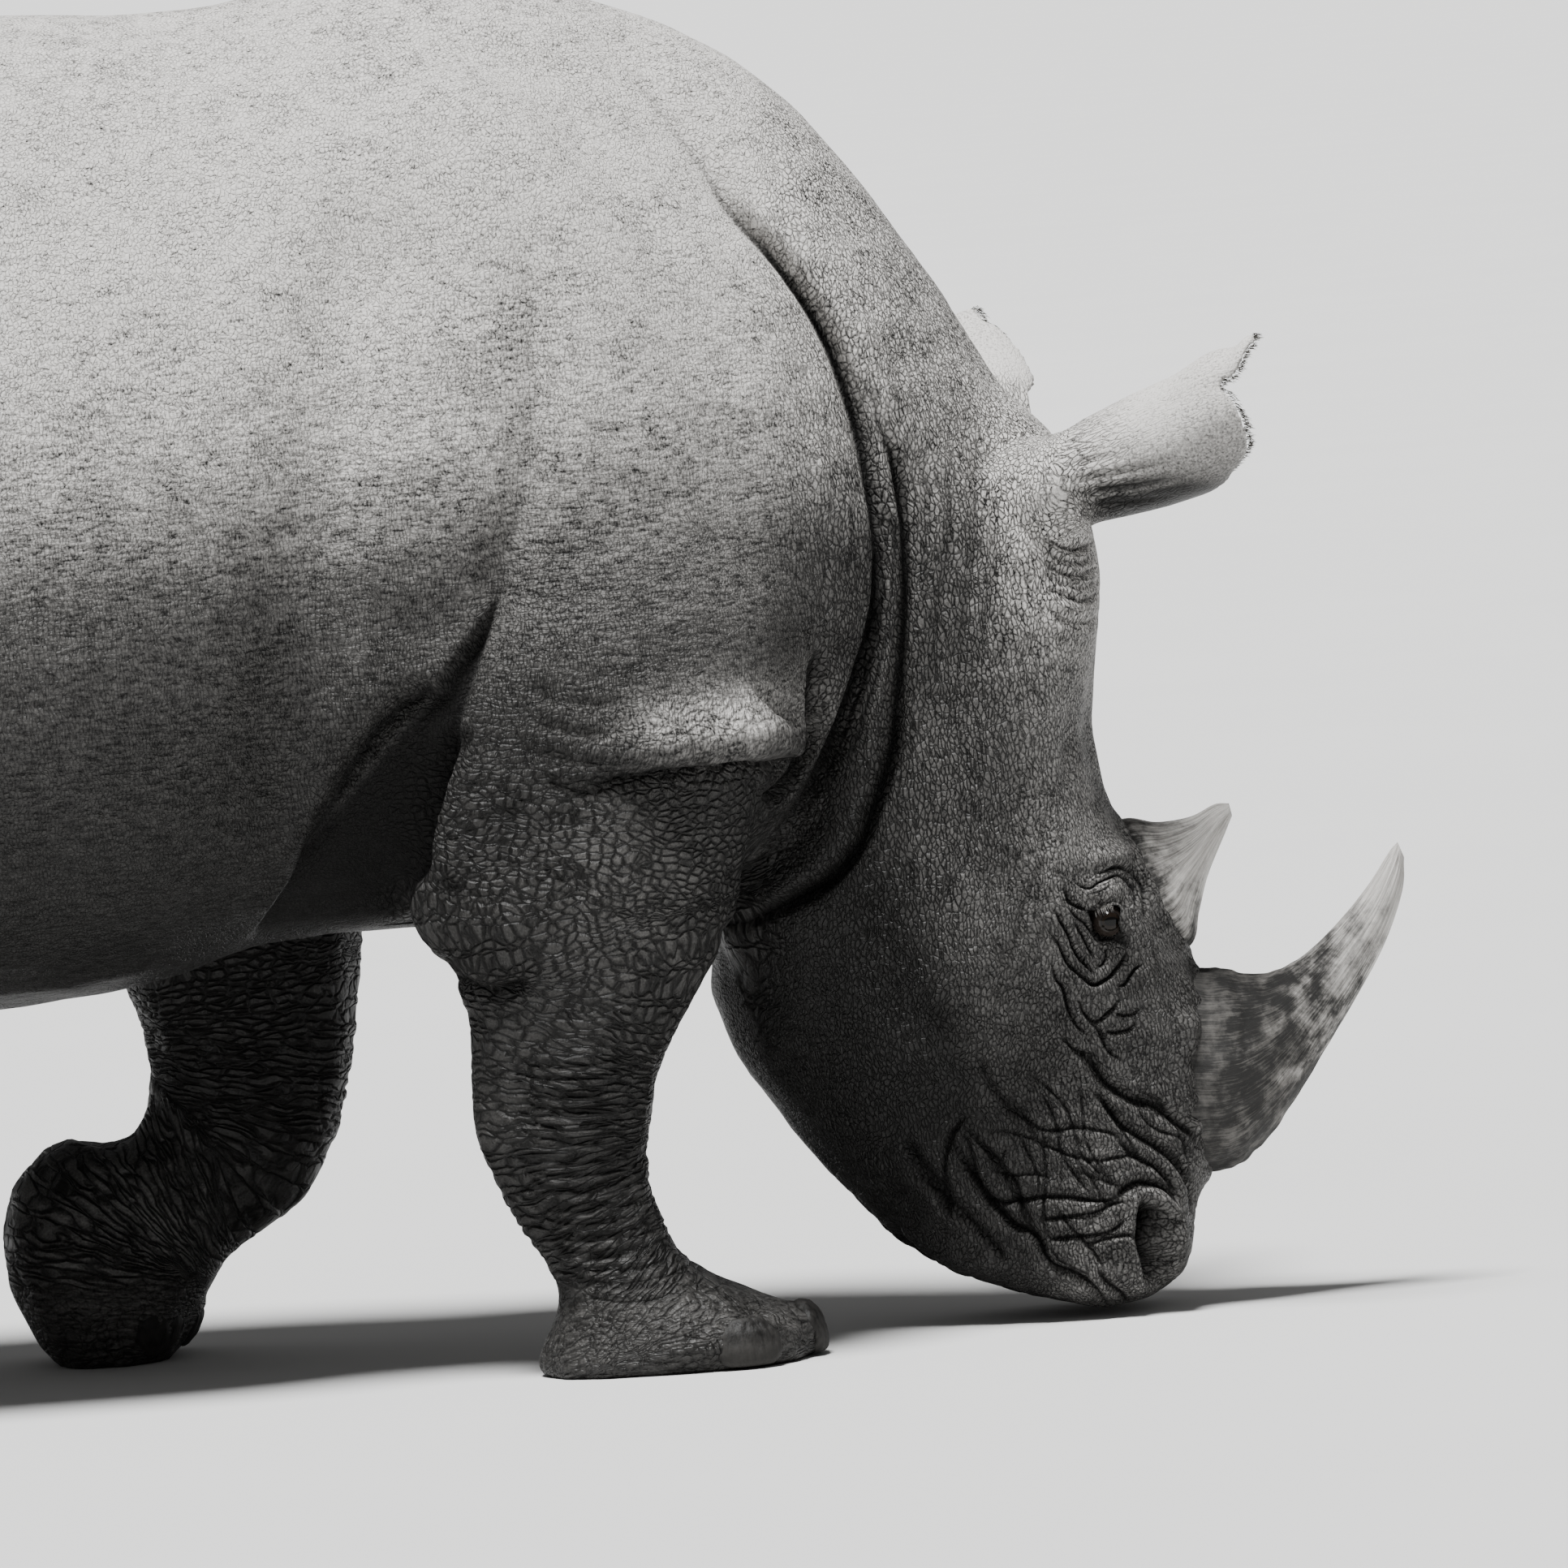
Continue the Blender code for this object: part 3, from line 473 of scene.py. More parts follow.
# Behind the shoulder and in the armpit the barrel of the body overlaps the upper foreleg.
fold([(0.527, 1.434), (0.548, 1.345), (0.553, 1.257), (0.546, 1.159), (0.527, 1.063), (0.492, 0.968),
      (0.450, 0.883), (0.403, 0.845)], 0.026, 0.011, 0.002, 0.005, ends=0.35)
fold([(0.412, 0.850), (0.393, 0.842), (0.352, 0.812), (0.308, 0.762), (0.275, 0.708), (0.241, 0.651),
      (0.208, 0.605)], 0.013, 0.022, 0.004, 0.008, ends=0.2)
fold([(0.44, 0.80), (0.40, 0.738), (0.375, 0.671), (0.365, 0.603)], 0.016, 0.018, 0.006, 0.004)
for drop in (0.0, 0.035, 0.07, 0.105):
    fold([(0.50, 0.86 - drop), (0.54, 0.83 - drop), (0.60, 0.815 - drop), (0.66, 0.82 - drop)],
         0.006, 0.003, 0.001, 0.001, ends=0.4)
fold([(0.385, 0.520), (0.401, 0.501), (0.413, 0.485), (0.439, 0.475), (0.469, 0.479), (0.50, 0.49)],
     0.007, 0.010, 0.003, 0.003)

# Flank and rump: a stifle fold with a lesser one beside it on each flank, and two creases across the
# back of each thigh, further forward on the left one, which is swung forward.
fold([(-0.79, 1.16), (-0.74, 1.02), (-0.68, 0.88), (-0.60, 0.76), (-0.55, 0.68)],
     0.016, 0.020, 0.004, 0.010)
fold([(-0.72, 0.94), (-0.66, 0.83), (-0.60, 0.74)], 0.008, 0.007, 0.002, 0.002)
fold([(-1.34, 0.86), (-1.25, 0.80), (-1.17, 0.77), (-1.09, 0.77)], 0.010, 0.012, 0.003, 0.003, sides=(-1,))
fold([(-1.36, 0.74), (-1.30, 0.69), (-1.22, 0.66)], 0.007, 0.008, 0.002, 0.002, sides=(-1,))
fold([(-1.26, 0.88), (-1.15, 0.80), (-1.03, 0.77), (-0.92, 0.77)], 0.010, 0.012, 0.003, 0.003, sides=(1,))
fold([(-1.02, 0.70), (-0.95, 0.66), (-0.87, 0.65)], 0.007, 0.008, 0.002, 0.002, sides=(1,))

# Head: the swelling at the root of the ear, the brow's stacked wrinkles, the long crest from horn
# to ear and the edge of the jaw muscle.
fold([(1.153, 1.105), (1.135, 1.067), (1.125, 1.018), (1.135, 0.973), (1.164, 0.936), (1.208, 0.919)],
     0.012, 0.004, 0.004, 0.0, ends=0.3)
for drop, depth in ((0.0, 0.006), (0.016, 0.004), (0.032, 0.006), (0.047, 0.004), (0.062, 0.005),
                    (0.090, 0.004)):
    fold([(1.150, 0.972 - drop), (1.170, 0.953 - drop), (1.195, 0.944 - drop), (1.228, 0.952 - drop)],
         0.0045, depth, 0.0015, 0.0015, ends=0.25)
fold([(1.205, 0.83), (1.175, 0.726), (1.149, 0.628), (1.131, 0.539)], 0.014, 0.004, 0.003, 0.0, ends=0.4)
fold([(1.139, 0.653), (1.127, 0.57), (1.107, 0.491)], 0.005, 0.003, 0.0, 0.001, ends=0.4)
fold([(1.043, 0.707), (1.054, 0.587), (1.081, 0.466), (1.097, 0.355), (1.085, 0.306), (1.014, 0.291)],
     0.022, 0.005, 0.0, 0.005, ends=0.35)


def press(table, **settings):
    """Press every fold of a table in millimetres: width, depth, roll on both sides, (x, z) places."""
    for width, depth, roll, *line in table:
        fold(np.array(line) / 1000, width / 1000, depth / 1000, roll / 1000, roll / 1000, **settings)


# Two shallow lines cross the cheek, and three warts stand on the right one. Fine furrows run out from
# the root of the right ear along its lower half.
press(((4, 2, 1, (1065, 634), (1034, 581), (1012, 543), (995, 510)),
       (4, 2, 1, (1147, 626), (1127, 568), (1104, 525), (1087, 476), (1071, 438), (1049, 390))), ends=0.4)
for x0, z0, across in ((1.093, 0.594, 0.0065), (1.097, 0.587, 0.0045), (1.129, 0.576, 0.0045)):
    swell(x0, z0, across, across, 0.0050, sides=(-1,))
press(((2.6, 1.6, 0.6, (1171, 1028), (1218, 1033), (1279, 1042), (1340, 1055)),
       (2.6, 1.6, 0.6, (1182, 1005), (1232, 1015), (1293, 1021), (1356, 1038)),
       (2.6, 1.6, 0.6, (1192, 986), (1231, 997), (1282, 1001), (1322, 1007)),
       (2.6, 1.6, 0.6, (1169, 1051), (1216, 1055), (1267, 1064))), sides=(-1,), ends=0.4)

# Muzzle and chin, in millimetres: width, depth and roll of each fold and the (x, z) places it passes.
# The long ones sweep from the cheek over the nostril; the lip line and a broken net lie between them.
MUZZLE_FOLDS = (
    (5.5, 13, 4, (1145, 339), (1164, 324), (1175, 307), (1185, 291), (1200, 278), (1216, 267), (1241, 258),
     (1260, 243), (1274, 228), (1281, 215), (1284, 192)),
    (4.5, 11, 3.6, (1163, 290), (1179, 272), (1188, 256), (1201, 238), (1218, 224), (1237, 210),
     (1256, 194), (1268, 178), (1274, 159), (1280, 137), (1276, 117)),
    (3.6, 8, 3, (1188, 226), (1200, 213), (1209, 201), (1221, 193), (1236, 183), (1246, 170), (1253, 156),
     (1256, 139)),
    (2.2, 4, 1.2, (1217, 282), (1241, 268), (1256, 251), (1266, 228), (1272, 205), (1277, 177)),
    (2.2, 3.6, 1.2, (1221, 259), (1228, 241), (1244, 227), (1264, 218), (1280, 205)),
    (4.4, 10, 4, (1185, 146), (1194, 156), (1204, 162), (1216, 166), (1230, 163), (1244, 155), (1253, 143),
     (1257, 130)),
    (6, 11, 4, (932, 239), (940, 227), (950, 209), (962, 193), (974, 181), (980, 166), (981, 149),
     (988, 126)),
    (3.6, 7, 2, (1012, 265), (1002, 252), (993, 238), (986, 219), (982, 194), (979, 177)),
    (5, 12, 5, (988, 240), (1000, 217), (1012, 197), (1022, 176), (1036, 156), (1050, 139), (1061, 126),
     (1079, 117), (1091, 105), (1095, 89), (1103, 74), (1115, 66), (1129, 61), (1143, 50), (1155, 35),
     (1167, 17), (1180, 2)),
    (3, 6, 2, (1003, 249), (1014, 227), (1018, 206), (1019, 186), (1027, 168)),
    (3, 5.6, 2, (1019, 234), (1038, 217), (1055, 195), (1069, 175), (1071, 152), (1075, 132), (1087, 115)),
    (3.4, 7, 3, (1019, 164), (1054, 154), (1095, 157), (1133, 154), (1159, 148), (1179, 147), (1194, 155)),
    (3, 5.8, 2.4, (1087, 128), (1112, 130), (1143, 131), (1164, 134), (1184, 142), (1204, 144)),
    (3.2, 6.4, 2.4, (1095, 106), (1120, 105), (1145, 105), (1171, 107), (1188, 114), (1201, 123)),
    (3, 5.6, 2, (1144, 93), (1159, 97), (1179, 101), (1201, 103), (1209, 96)),
    (2.6, 4.6, 1.6, (1087, 313), (1107, 295), (1123, 279), (1133, 266), (1140, 249), (1144, 227),
     (1149, 207), (1161, 191), (1173, 177), (1184, 158)),
    (2.6, 4.6, 1.6, (1101, 290), (1112, 271), (1119, 254), (1123, 234), (1125, 208), (1136, 187),
     (1149, 168), (1163, 149)),
    (2.4, 4, 1.4, (1152, 301), (1155, 271), (1155, 246), (1156, 221), (1165, 200), (1173, 185),
     (1191, 161)),
    (2.6, 4.6, 1.6, (1172, 280), (1183, 262), (1194, 243), (1204, 223), (1212, 207), (1224, 189)),
    (2.4, 3.8, 1.4, (1075, 237), (1081, 220), (1089, 201), (1095, 179), (1093, 156)),
    (2.6, 4.4, 1.6, (1105, 242), (1104, 210), (1105, 180), (1100, 150), (1099, 120), (1103, 98)),
    (2.6, 4.4, 2, (1111, 151), (1123, 128), (1135, 111), (1149, 95), (1159, 80), (1169, 63)),
    (2.4, 4, 2, (1101, 98), (1111, 81), (1129, 68), (1151, 56)),
    (2.4, 4, 1.2, (1139, 219), (1144, 197), (1159, 176), (1169, 155), (1180, 134)),
    (2.8, 4.8, 1.8, (1057, 271), (1083, 256), (1100, 242), (1119, 237), (1144, 239), (1169, 235),
     (1190, 228), (1204, 215)),
    (2.6, 4.2, 1.6, (1042, 244), (1071, 237), (1095, 226), (1119, 214), (1137, 205), (1167, 197),
     (1188, 199), (1212, 199), (1230, 189)),
    (2.4, 3.6, 1.2, (1124, 190), (1155, 181), (1179, 169), (1204, 160)),
    (2.4, 3.6, 1.2, (1032, 195), (1061, 186), (1087, 186), (1115, 179)),
    (2.2, 3.2, 1.2, (1059, 223), (1053, 202), (1057, 178)),
    (4, 8, 3, (1159, 66), (1168, 47), (1183, 30), (1196, 11)))
press(MUZZLE_FOLDS, ends=0.18)
fold([(1.027, 0.347), (1.049, 0.295), (1.083, 0.255), (1.10, 0.22)], 0.005, 0.006, 0.002, 0.002)
fold([(1.002, 0.259), (1.034, 0.216), (1.065, 0.164), (1.093, 0.111)], 0.005, 0.007, 0.002, 0.002)
fold([(0.938, 0.203), (0.984, 0.16), (1.022, 0.117), (1.053, 0.075)], 0.006, 0.008, 0.002, 0.003)
fold([(0.91, 0.135), (0.921, 0.105), (0.942, 0.085), (0.966, 0.064), (0.987, 0.05)],
     0.006, 0.007, 0.002, 0.002)

# Round the eye: the brow's crease, finer ones across the upper lid, and V after V below.
EYE_FOLDS = (
    (2.4, 8.5, 3, (1181, 547), (1201, 549), (1213, 552), (1224, 549), (1233, 543), (1240, 533),
     (1245, 523), (1248, 509), (1248, 493), (1248, 478)),
    (1.6, 4.2, 1.2, (1159, 549), (1165, 541), (1172, 534), (1183, 531), (1192, 536), (1202, 539),
     (1214, 542), (1221, 538), (1228, 530), (1234, 521), (1236, 509), (1236, 497), (1233, 485)),
    (1.3, 2, 0, (1184, 524), (1196, 528), (1206, 532)),
    (1.3, 1.6, 0, (1185, 521), (1192, 515), (1198, 507)),
    (1.3, 1.6, 0, (1224, 536), (1229, 524), (1232, 512)),
    (2.6, 8, 2, (1149, 536), (1153, 527), (1155, 518), (1163, 512), (1171, 508), (1179, 505)),
    (1.7, 4.8, 2, (1151, 516), (1156, 506), (1163, 498), (1171, 491), (1176, 483), (1181, 475),
     (1185, 467), (1194, 461)),
    (1.7, 4.2, 1.6, (1156, 499), (1163, 485), (1168, 475), (1173, 463), (1177, 453), (1181, 444)),
    (2.1, 7.2, 2.6, (1129, 518), (1139, 506), (1143, 495), (1149, 483), (1153, 473), (1155, 463),
     (1161, 449), (1169, 438), (1177, 428), (1184, 418)),
    (2.2, 7.8, 2.8, (1124, 500), (1132, 479), (1139, 469), (1144, 453), (1151, 438), (1159, 430),
     (1167, 422), (1175, 414), (1183, 413), (1192, 417), (1200, 421), (1208, 429), (1216, 438),
     (1221, 447), (1224, 454)),
    (1.8, 3.6, 1.2, (1194, 457), (1196, 447), (1192, 437), (1183, 432)),
    (2.2, 7, 2.6, (1127, 458), (1131, 434), (1135, 421), (1140, 415), (1143, 404), (1145, 390),
     (1149, 376), (1155, 364), (1163, 357), (1172, 350)),
    (2, 6, 2.6, (1156, 406), (1161, 387), (1167, 375), (1175, 368), (1185, 370), (1192, 376), (1200, 381),
     (1205, 387), (1212, 396)),
    (2.2, 6, 2.2, (1168, 370), (1179, 360), (1184, 348), (1188, 335), (1194, 326), (1206, 318)),
    (2.2, 5, 2.6, (1185, 357), (1197, 352), (1209, 352), (1220, 355), (1229, 365)),
    (1.8, 3.6, 1.6, (1197, 378), (1213, 372), (1224, 373), (1232, 379)),
    (2.2, 4.4, 2, (1204, 410), (1216, 409), (1224, 418), (1232, 427), (1244, 432)),
    (2.4, 5, 2, (1135, 353), (1143, 342), (1151, 333), (1163, 329), (1177, 327)),
    (2, 3.4, 3, (1240, 581), (1244, 571), (1252, 555), (1258, 538), (1266, 524), (1276, 509), (1280, 491),
     (1286, 471), (1296, 447)))
press(EYE_FOLDS, ends=0.25, spread=3.0)

# Soft lumps and hollows of brow, cheekbone, jaw, muzzle and crown: place, breadth, tallness, height.
for lump in (
        (1.202, 0.525, 0.019, 0.010, 0.0090), (1.214, 0.566, 0.030, 0.014, 0.0110),
        (1.202, 0.447, 0.010, 0.014, 0.0032), (1.172, 0.392, 0.012, 0.018, 0.0028),
        (1.222, 0.390, 0.014, 0.012, 0.0034), (1.150, 0.640, 0.016, 0.100, 0.0090),
        (1.195, 0.700, 0.020, 0.080, -0.0060), (1.105, 0.620, 0.024, 0.090, -0.0080),
        (1.040, 0.450, 0.045, 0.100, 0.0200), (1.110, 0.340, 0.032, 0.055, -0.0160),
        (1.255, 0.350, 0.028, 0.045, 0.0120), (1.165, 0.200, 0.045, 0.040, 0.0060),
        (1.145, 0.960, 0.030, 0.040, 0.0100), (1.190, 0.880, 0.028, 0.040, 0.0100)):
    swell(*lump)


def loop_distance(flat, loop):
    """Distance of flat points from a closed line, less than 0 inside it."""
    around = flowing(list(loop) + [loop[0]], 5)
    away = nearest_on(around, flat)[0]
    inside = np.zeros(len(flat), bool)
    for a, b in zip(around[:-1], around[1:]):
        crosses = (a[1] > flat[:, 1]) != (b[1] > flat[:, 1])
        rise = b[1] - a[1] if b[1] != a[1] else 1e-9
        inside ^= crosses & (flat[:, 0] < a[0] + (flat[:, 1] - a[1]) / rise * (b[0] - a[0]))
    return np.where(inside, -away, away)


# Lids: they wrap the ball of the eye, open on a rounded triangle, and turn in at its margin.
EYE_BALL = 0.0210
INNER_BALL = EYE_BALL - 0.004
LID = 0.0034
LID_BLEND = 0.006
OPENING = ((1.177, 0.505), (1.185, 0.504), (1.194, 0.505), (1.200, 0.508), (1.210, 0.509), (1.218, 0.504),
           (1.218, 0.495), (1.216, 0.483), (1.218, 0.473), (1.221, 0.462), (1.222, 0.455), (1.216, 0.460),
           (1.208, 0.463), (1.197, 0.464), (1.190, 0.465), (1.185, 0.470), (1.180, 0.480), (1.179, 0.491))
eyes = {}
for side, node in ((-1, "right_eye"), (1, "left_eye")):
    low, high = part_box(node)
    eyes[node] = np.array((low + high) / 2)
    out_to_eye = abs(eyes[node][1])
    flat = form[:, [0, 2]] - eyes[node][[0, 2]]
    pick = np.flatnonzero((np.abs(flat) < 0.07).all(axis=1) & (form[:, 1] * side > 0.05))
    out = np.abs((form[pick] + facing[pick] * lift[pick][:, None])[:, 1])
    margin = loop_distance(form[pick][:, [0, 2]], OPENING)
    span = np.linalg.norm(flat[pick], axis=1)
    reach = EYE_BALL + LID + 0.0016 * ramp(-margin, -0.012, 0.0)
    ball = out_to_eye + np.sqrt(np.clip(reach ** 2 - span ** 2, 0.0, None))
    ball = np.where(span < reach * 0.94, ball, 0.0)
    mix = np.clip(0.5 + 0.5 * (ball - out) / LID_BLEND, 0.0, 1.0)
    lid = np.where(ball > 0, out * (1 - mix) + ball * mix + LID_BLEND * mix * (1 - mix), out)
    deep = out_to_eye + np.sqrt(np.clip(INNER_BALL ** 2 - span ** 2, 0.0, None))
    deep = np.where(span < INNER_BALL, deep, out_to_eye - 0.004)
    sink = ramp(margin, 0.0004, -0.0012)
    pull[pick, 1] += side * (lid * (1 - sink) + deep * sink - out)
    # Painted shade darkens the hide round the margin of the opening.
    crease[pick] = np.maximum(crease[pick], 0.9 * ramp(margin, 0.0045, -0.001))

# Nostrils: the hide drops steeply behind the opening's rear rim, and the front wing of the nose, a
# thick rounded lobe, rolls back into the hollow.
NOSTRIL_REAR = ((1.225, 0.152), (1.217, 0.141), (1.213, 0.126), (1.210, 0.109), (1.208, 0.096),
                (1.210, 0.081), (1.214, 0.063), (1.217, 0.040), (1.221, 0.018))
swell(1.252, 0.098, 0.019, 0.044, 0.027)
swell(1.236, 0.142, 0.022, 0.014, 0.006)
for side in (-1, 1):
    pick, away, hand, along = trace(NOSTRIL_REAR, 0.060, side)
    length = ramp(along, 0.0, 0.22) * ramp(along, 1.0, 0.80)
    front = np.where(hand > 0, away, -away)
    hollow = ramp(front, -0.0020, 0.005) * bell(np.maximum(front, 0.018), 0.018, 0.013)
    lift[pick] += length * (0.0035 * bell(front, -0.006, 0.006) - 0.046 * hollow)
    # Painted shade darkens the hollow.
    crease[pick] = np.maximum(crease[pick], length * ramp(front, 0.0, 0.004) * ramp(front, 0.040, 0.020))

# Where horn and nail grow out of the hide, it is drawn up round them in a low collar. Height, reach.
HORN_COLLARS = {"front_horn": (0.0110, 0.020), "rear_horn": (0.0070, 0.014)}
NAIL_COLLAR = (0.0040, 0.009)
for node in list(HORN_COLLARS) + NAILS:
    height, reach = HORN_COLLARS.get(node, NAIL_COLLAR)
    shape = BVHTree.FromObject(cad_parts[node], bpy.context.evaluated_depsgraph_get())
    low, high = (np.array(corner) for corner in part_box(node))
    pick = np.flatnonzero(((form > low - 0.03) & (form < high + 0.03)).all(axis=1))
    gap = np.array([shape.find_nearest(Vector(place))[3] for place in form[pick]])
    lift[pick] += height * bell(gap, 0.0, reach) * (1.0 + 0.6 * haze(form[pick], 0.022, 19))

# Limbs: right fore, left fore, right hind and left hind, each with its side and the (x, z) places that
# its bones pass from the body down, so that rings and pebbles follow the leg as it bends.
LIMBS = ((-1, ((0.599, 0.90), (0.577, 0.75), (0.563, 0.64), (0.553, 0.55), (0.564, 0.475), (0.535, 0.38),
               (0.521, 0.29), (0.533, 0.22), (0.567, 0.14), (0.600, 0.10), (0.640, 0.05), (0.645, 0.0))),
         (1, ((0.4415, 0.88), (0.2515, 0.735), (0.1465, 0.61), (0.1255, 0.508), (0.1325, 0.415),
              (0.1205, 0.321), (0.0955, 0.256), (0.0435, 0.234), (-0.0115, 0.207), (-0.0565, 0.162),
              (-0.0745, 0.10), (-0.0785, 0.05), (-0.0735, 0.0))),
         (-1, ((-1.03, 0.84), (-1.09, 0.69), (-1.183, 0.56), (-1.2775, 0.44), (-1.263, 0.33),
               (-1.242, 0.21), (-1.231, 0.13), (-1.21, 0.085), (-1.196, 0.045), (-1.20, 0.0))),
         (1, ((-0.83, 0.84), (-0.7775, 0.69), (-0.7875, 0.56), (-0.7975, 0.43), (-0.747, 0.33),
              (-0.678, 0.21), (-0.631, 0.13), (-0.6065, 0.085), (-0.5965, 0.045), (-0.6005, 0.0))))
LEG_MIDDLE = 0.285


def straightened(places):
    """Where each point would lie with the legs hanging straight, and how far it belongs to a leg."""
    straight = places.copy()
    leg = np.zeros(len(places))
    for side, bone in LIMBS:
        track = flowing(bone, 4)
        spans = np.linalg.norm(np.diff(track, axis=0), axis=1)
        lengths = np.concatenate([[0.0], np.cumsum(spans)])
        pick = np.flatnonzero((places[:, 1] * side > 0.10) & (places[:, 2] < track[0, 1] + 0.02)
                              & (places[:, 0] > track[:, 0].min() - 0.24)
                              & (places[:, 0] < track[:, 0].max() + 0.30))
        away, hand, step, part = nearest_on(track, places[pick][:, [0, 2]])
        down = lengths[step] + part * spans[step]
        belongs = ramp(away, 0.27, 0.19) * ramp(down, 0.02, 0.26)
        slim = 1.0 - 0.72 * ramp(down / lengths[-1], 0.35, 0.66)
        middle = side * LEG_MIDDLE
        hung = np.stack([track[0, 0] + hand * away * slim, middle + (places[pick, 1] - middle) * slim,
                         track[0, 1] - down], axis=1)
        straight[pick] += belongs[:, None] * (hung - straight[pick])
        leg[pick] = np.maximum(leg[pick], belongs)
    return straight, leg


straight, leg = straightened(form)
x, y, z = form.T
head = ramp(0.892 * (x - 0.7215) - 0.452 * (z - 0.5), 0.20, 0.32) * ramp(z, 1.12, 0.95)
muzzle = head * ramp(z, 0.36, 0.25)
outer = ramp(np.abs(y), 0.15, 0.25)
elbow = bell(x, 0.47, 0.15) * bell(z, 0.66, 0.17) * outer
flap = bell(x, 0.76, 0.13) * bell(z, 0.775, 0.045) * outer
waver = np.stack([haze(form, 0.05, 11 + k) for k in range(3)], axis=1)
bent = straight + 0.006 * waver


def pebbled(mask, size, height, seed, places=bent):
    """Break the hide into pebbles where the mask says, with painted shade in the cracks between them."""
    pick = np.flatnonzero(mask > 0.02)
    backs = pebbles(places[pick], size, seed)
    lift[pick] += mask[pick] * height * (backs - 1.0)
    crease[pick] = np.maximum(crease[pick], 0.35 * mask[pick] * (1.0 - backs))


pebbled(leg * (1 - elbow) * ramp(z, 0.08, 0.14), (0.034, 0.034, 0.017), 0.0018, 3)
pebbled(np.maximum(elbow, flap), (0.026, 0.026, 0.020), 0.0038, 7)
pebbled(leg * bell(straight[:, 2], 0.20, 0.10), (0.110, 0.110, 0.015), 0.0030, 9)
pebbled(muzzle, (0.036, 0.032, 0.024), 0.0022, 13, form + 0.012 * waver)

# The right foreleg: the toe's pad, the dip before it, the forearm's muscles, and the rings that lie one
# below the other from under the forearm to the foot, each sagging and ending in its own place.
for lump in ((0.655, 0.036, 0.045, 0.036, 0.010), (0.735, 0.062, 0.016, 0.014, -0.008),
             (0.600, 0.560, 0.050, 0.110, 0.008), (0.470, 0.560, 0.050, 0.060, 0.012)):
    swell(*lump, sides=(-1,))
RINGS = 25
TOP_RING = 0.385
RING_STEP = 0.0118
for k in range(RINGS):
    level = TOP_RING - RING_STEP * k
    middle = 0.535 + 0.10 * max(0.22 - level, 0.0) / 0.22
    sag = 0.006 + 0.010 * ((k * 7) % 5) / 5.0
    rear = 0.06 + 0.045 * ((k * 3) % 4) / 4.0
    front = 0.07 + 0.05 * ((k * 5) % 7) / 7.0
    fold([(middle - rear, level + 0.010), (middle - 0.045, level - sag * 0.4), (middle, level - sag),
          (middle + 0.045, level - sag * 0.7), (middle + front, level + 0.004)],
         0.0030, 0.0032, 0.0010, 0.0010, sides=(-1,), ends=0.16)

# Slow waves run all over the hide, upright ones down the throat and level ones along the barrel.
lift += 0.0045 * haze(form, 0.22, 21) + 0.0016 * haze(form, 0.07, 23) * (1 - 0.6 * head)
throat = ramp(x, 0.80, 0.95) * ramp(x, 1.18, 1.05) * ramp(z, 1.30, 1.05) * ramp(z, 0.60, 0.75)
lift += 0.0032 * throat * haze(form + 0.02 * waver, (0.024, 0.050, 0.16), 27)
barrel = (1 - leg) * (1 - head) * ramp(z, 1.45, 1.20)
lift += 0.0010 * barrel * haze(form + 0.02 * waver, (0.11, 0.08, 0.016), 29)

# A hollow behind each elbow lies under the barrel's loose edge, and painted shadow darkens it.
under_edge = (x - 0.412) * 0.769 - (z - 0.850) * 0.640
behind_elbow = (z - 0.800) * 0.356 - (x - 0.440) * 0.935
pocket = ramp(np.minimum(under_edge + 0.010, behind_elbow), 0.0, 0.016)
pocket *= ramp(np.abs(y), 0.10, 0.20) * ramp(z, 0.50, 0.58)
lift -= 0.022 * pocket
crease = np.maximum(crease, 0.95 * pocket ** 0.6 * (1.0 - 0.25 * ramp(z, 0.64, 0.56)))

# The soles stay flat on the ground; every other point takes its fold.
still = ramp(z, 0.004, 0.030)
lift *= still
moved = form + facing * lift[:, None] + pull * still[:, None]
moved[:, 2] = np.maximum(moved[:, 2], 0.0)
set_coords(hide, moved)


def keep(body, **layers):
    """Keep numbers or vectors on the body's vertices, for its finish to read."""
    for label, values in layers.items():
        kind, slot = ("FLOAT", "value") if values.ndim == 1 else ("FLOAT_VECTOR", "vector")
        layer = body.data.attributes.new(label, kind, "POINT")
        layer.data.foreach_set(slot, values.astype(np.float32).ravel())


coarse = np.maximum(np.maximum(leg * (1.0 - 0.8 * ramp(z, 0.80, 0.95)), elbow), 0.6 * flap)
coarse = np.clip(coarse, 0.0, 1.0) * (0.25 + 0.75 * ramp(z, 0.07, 0.13))
# Kept for the finish: painted shade in folds, cracks and hollows, and the strength of the painted shade
# line at each fold's bottom.
keep(hide, fold=crease, leg=leg, head=head, ruled=ruled, ink=ink, coarse=coarse)

# Where each point lies for the net of cracks: legs straight, ears laid out along their own length.
for (root, axis, mouth, across), _ in EARS.values():
    out = form - root
    along = out @ axis
    on_ear = ramp(along, 0.0, 0.06) * ramp(np.linalg.norm(out - axis * along[:, None], axis=1), 0.16, 0.11)
    own = root + np.stack([out @ across, out @ mouth, along * 0.55], axis=1)
    straight = straight * (1.0 - on_ear[:, None]) + own * on_ear[:, None]
swirl = np.stack([haze(form, 0.028, 31 + k) for k in range(3)], axis=1)
keep(hide, hung=straight + 0.0055 * swirl)

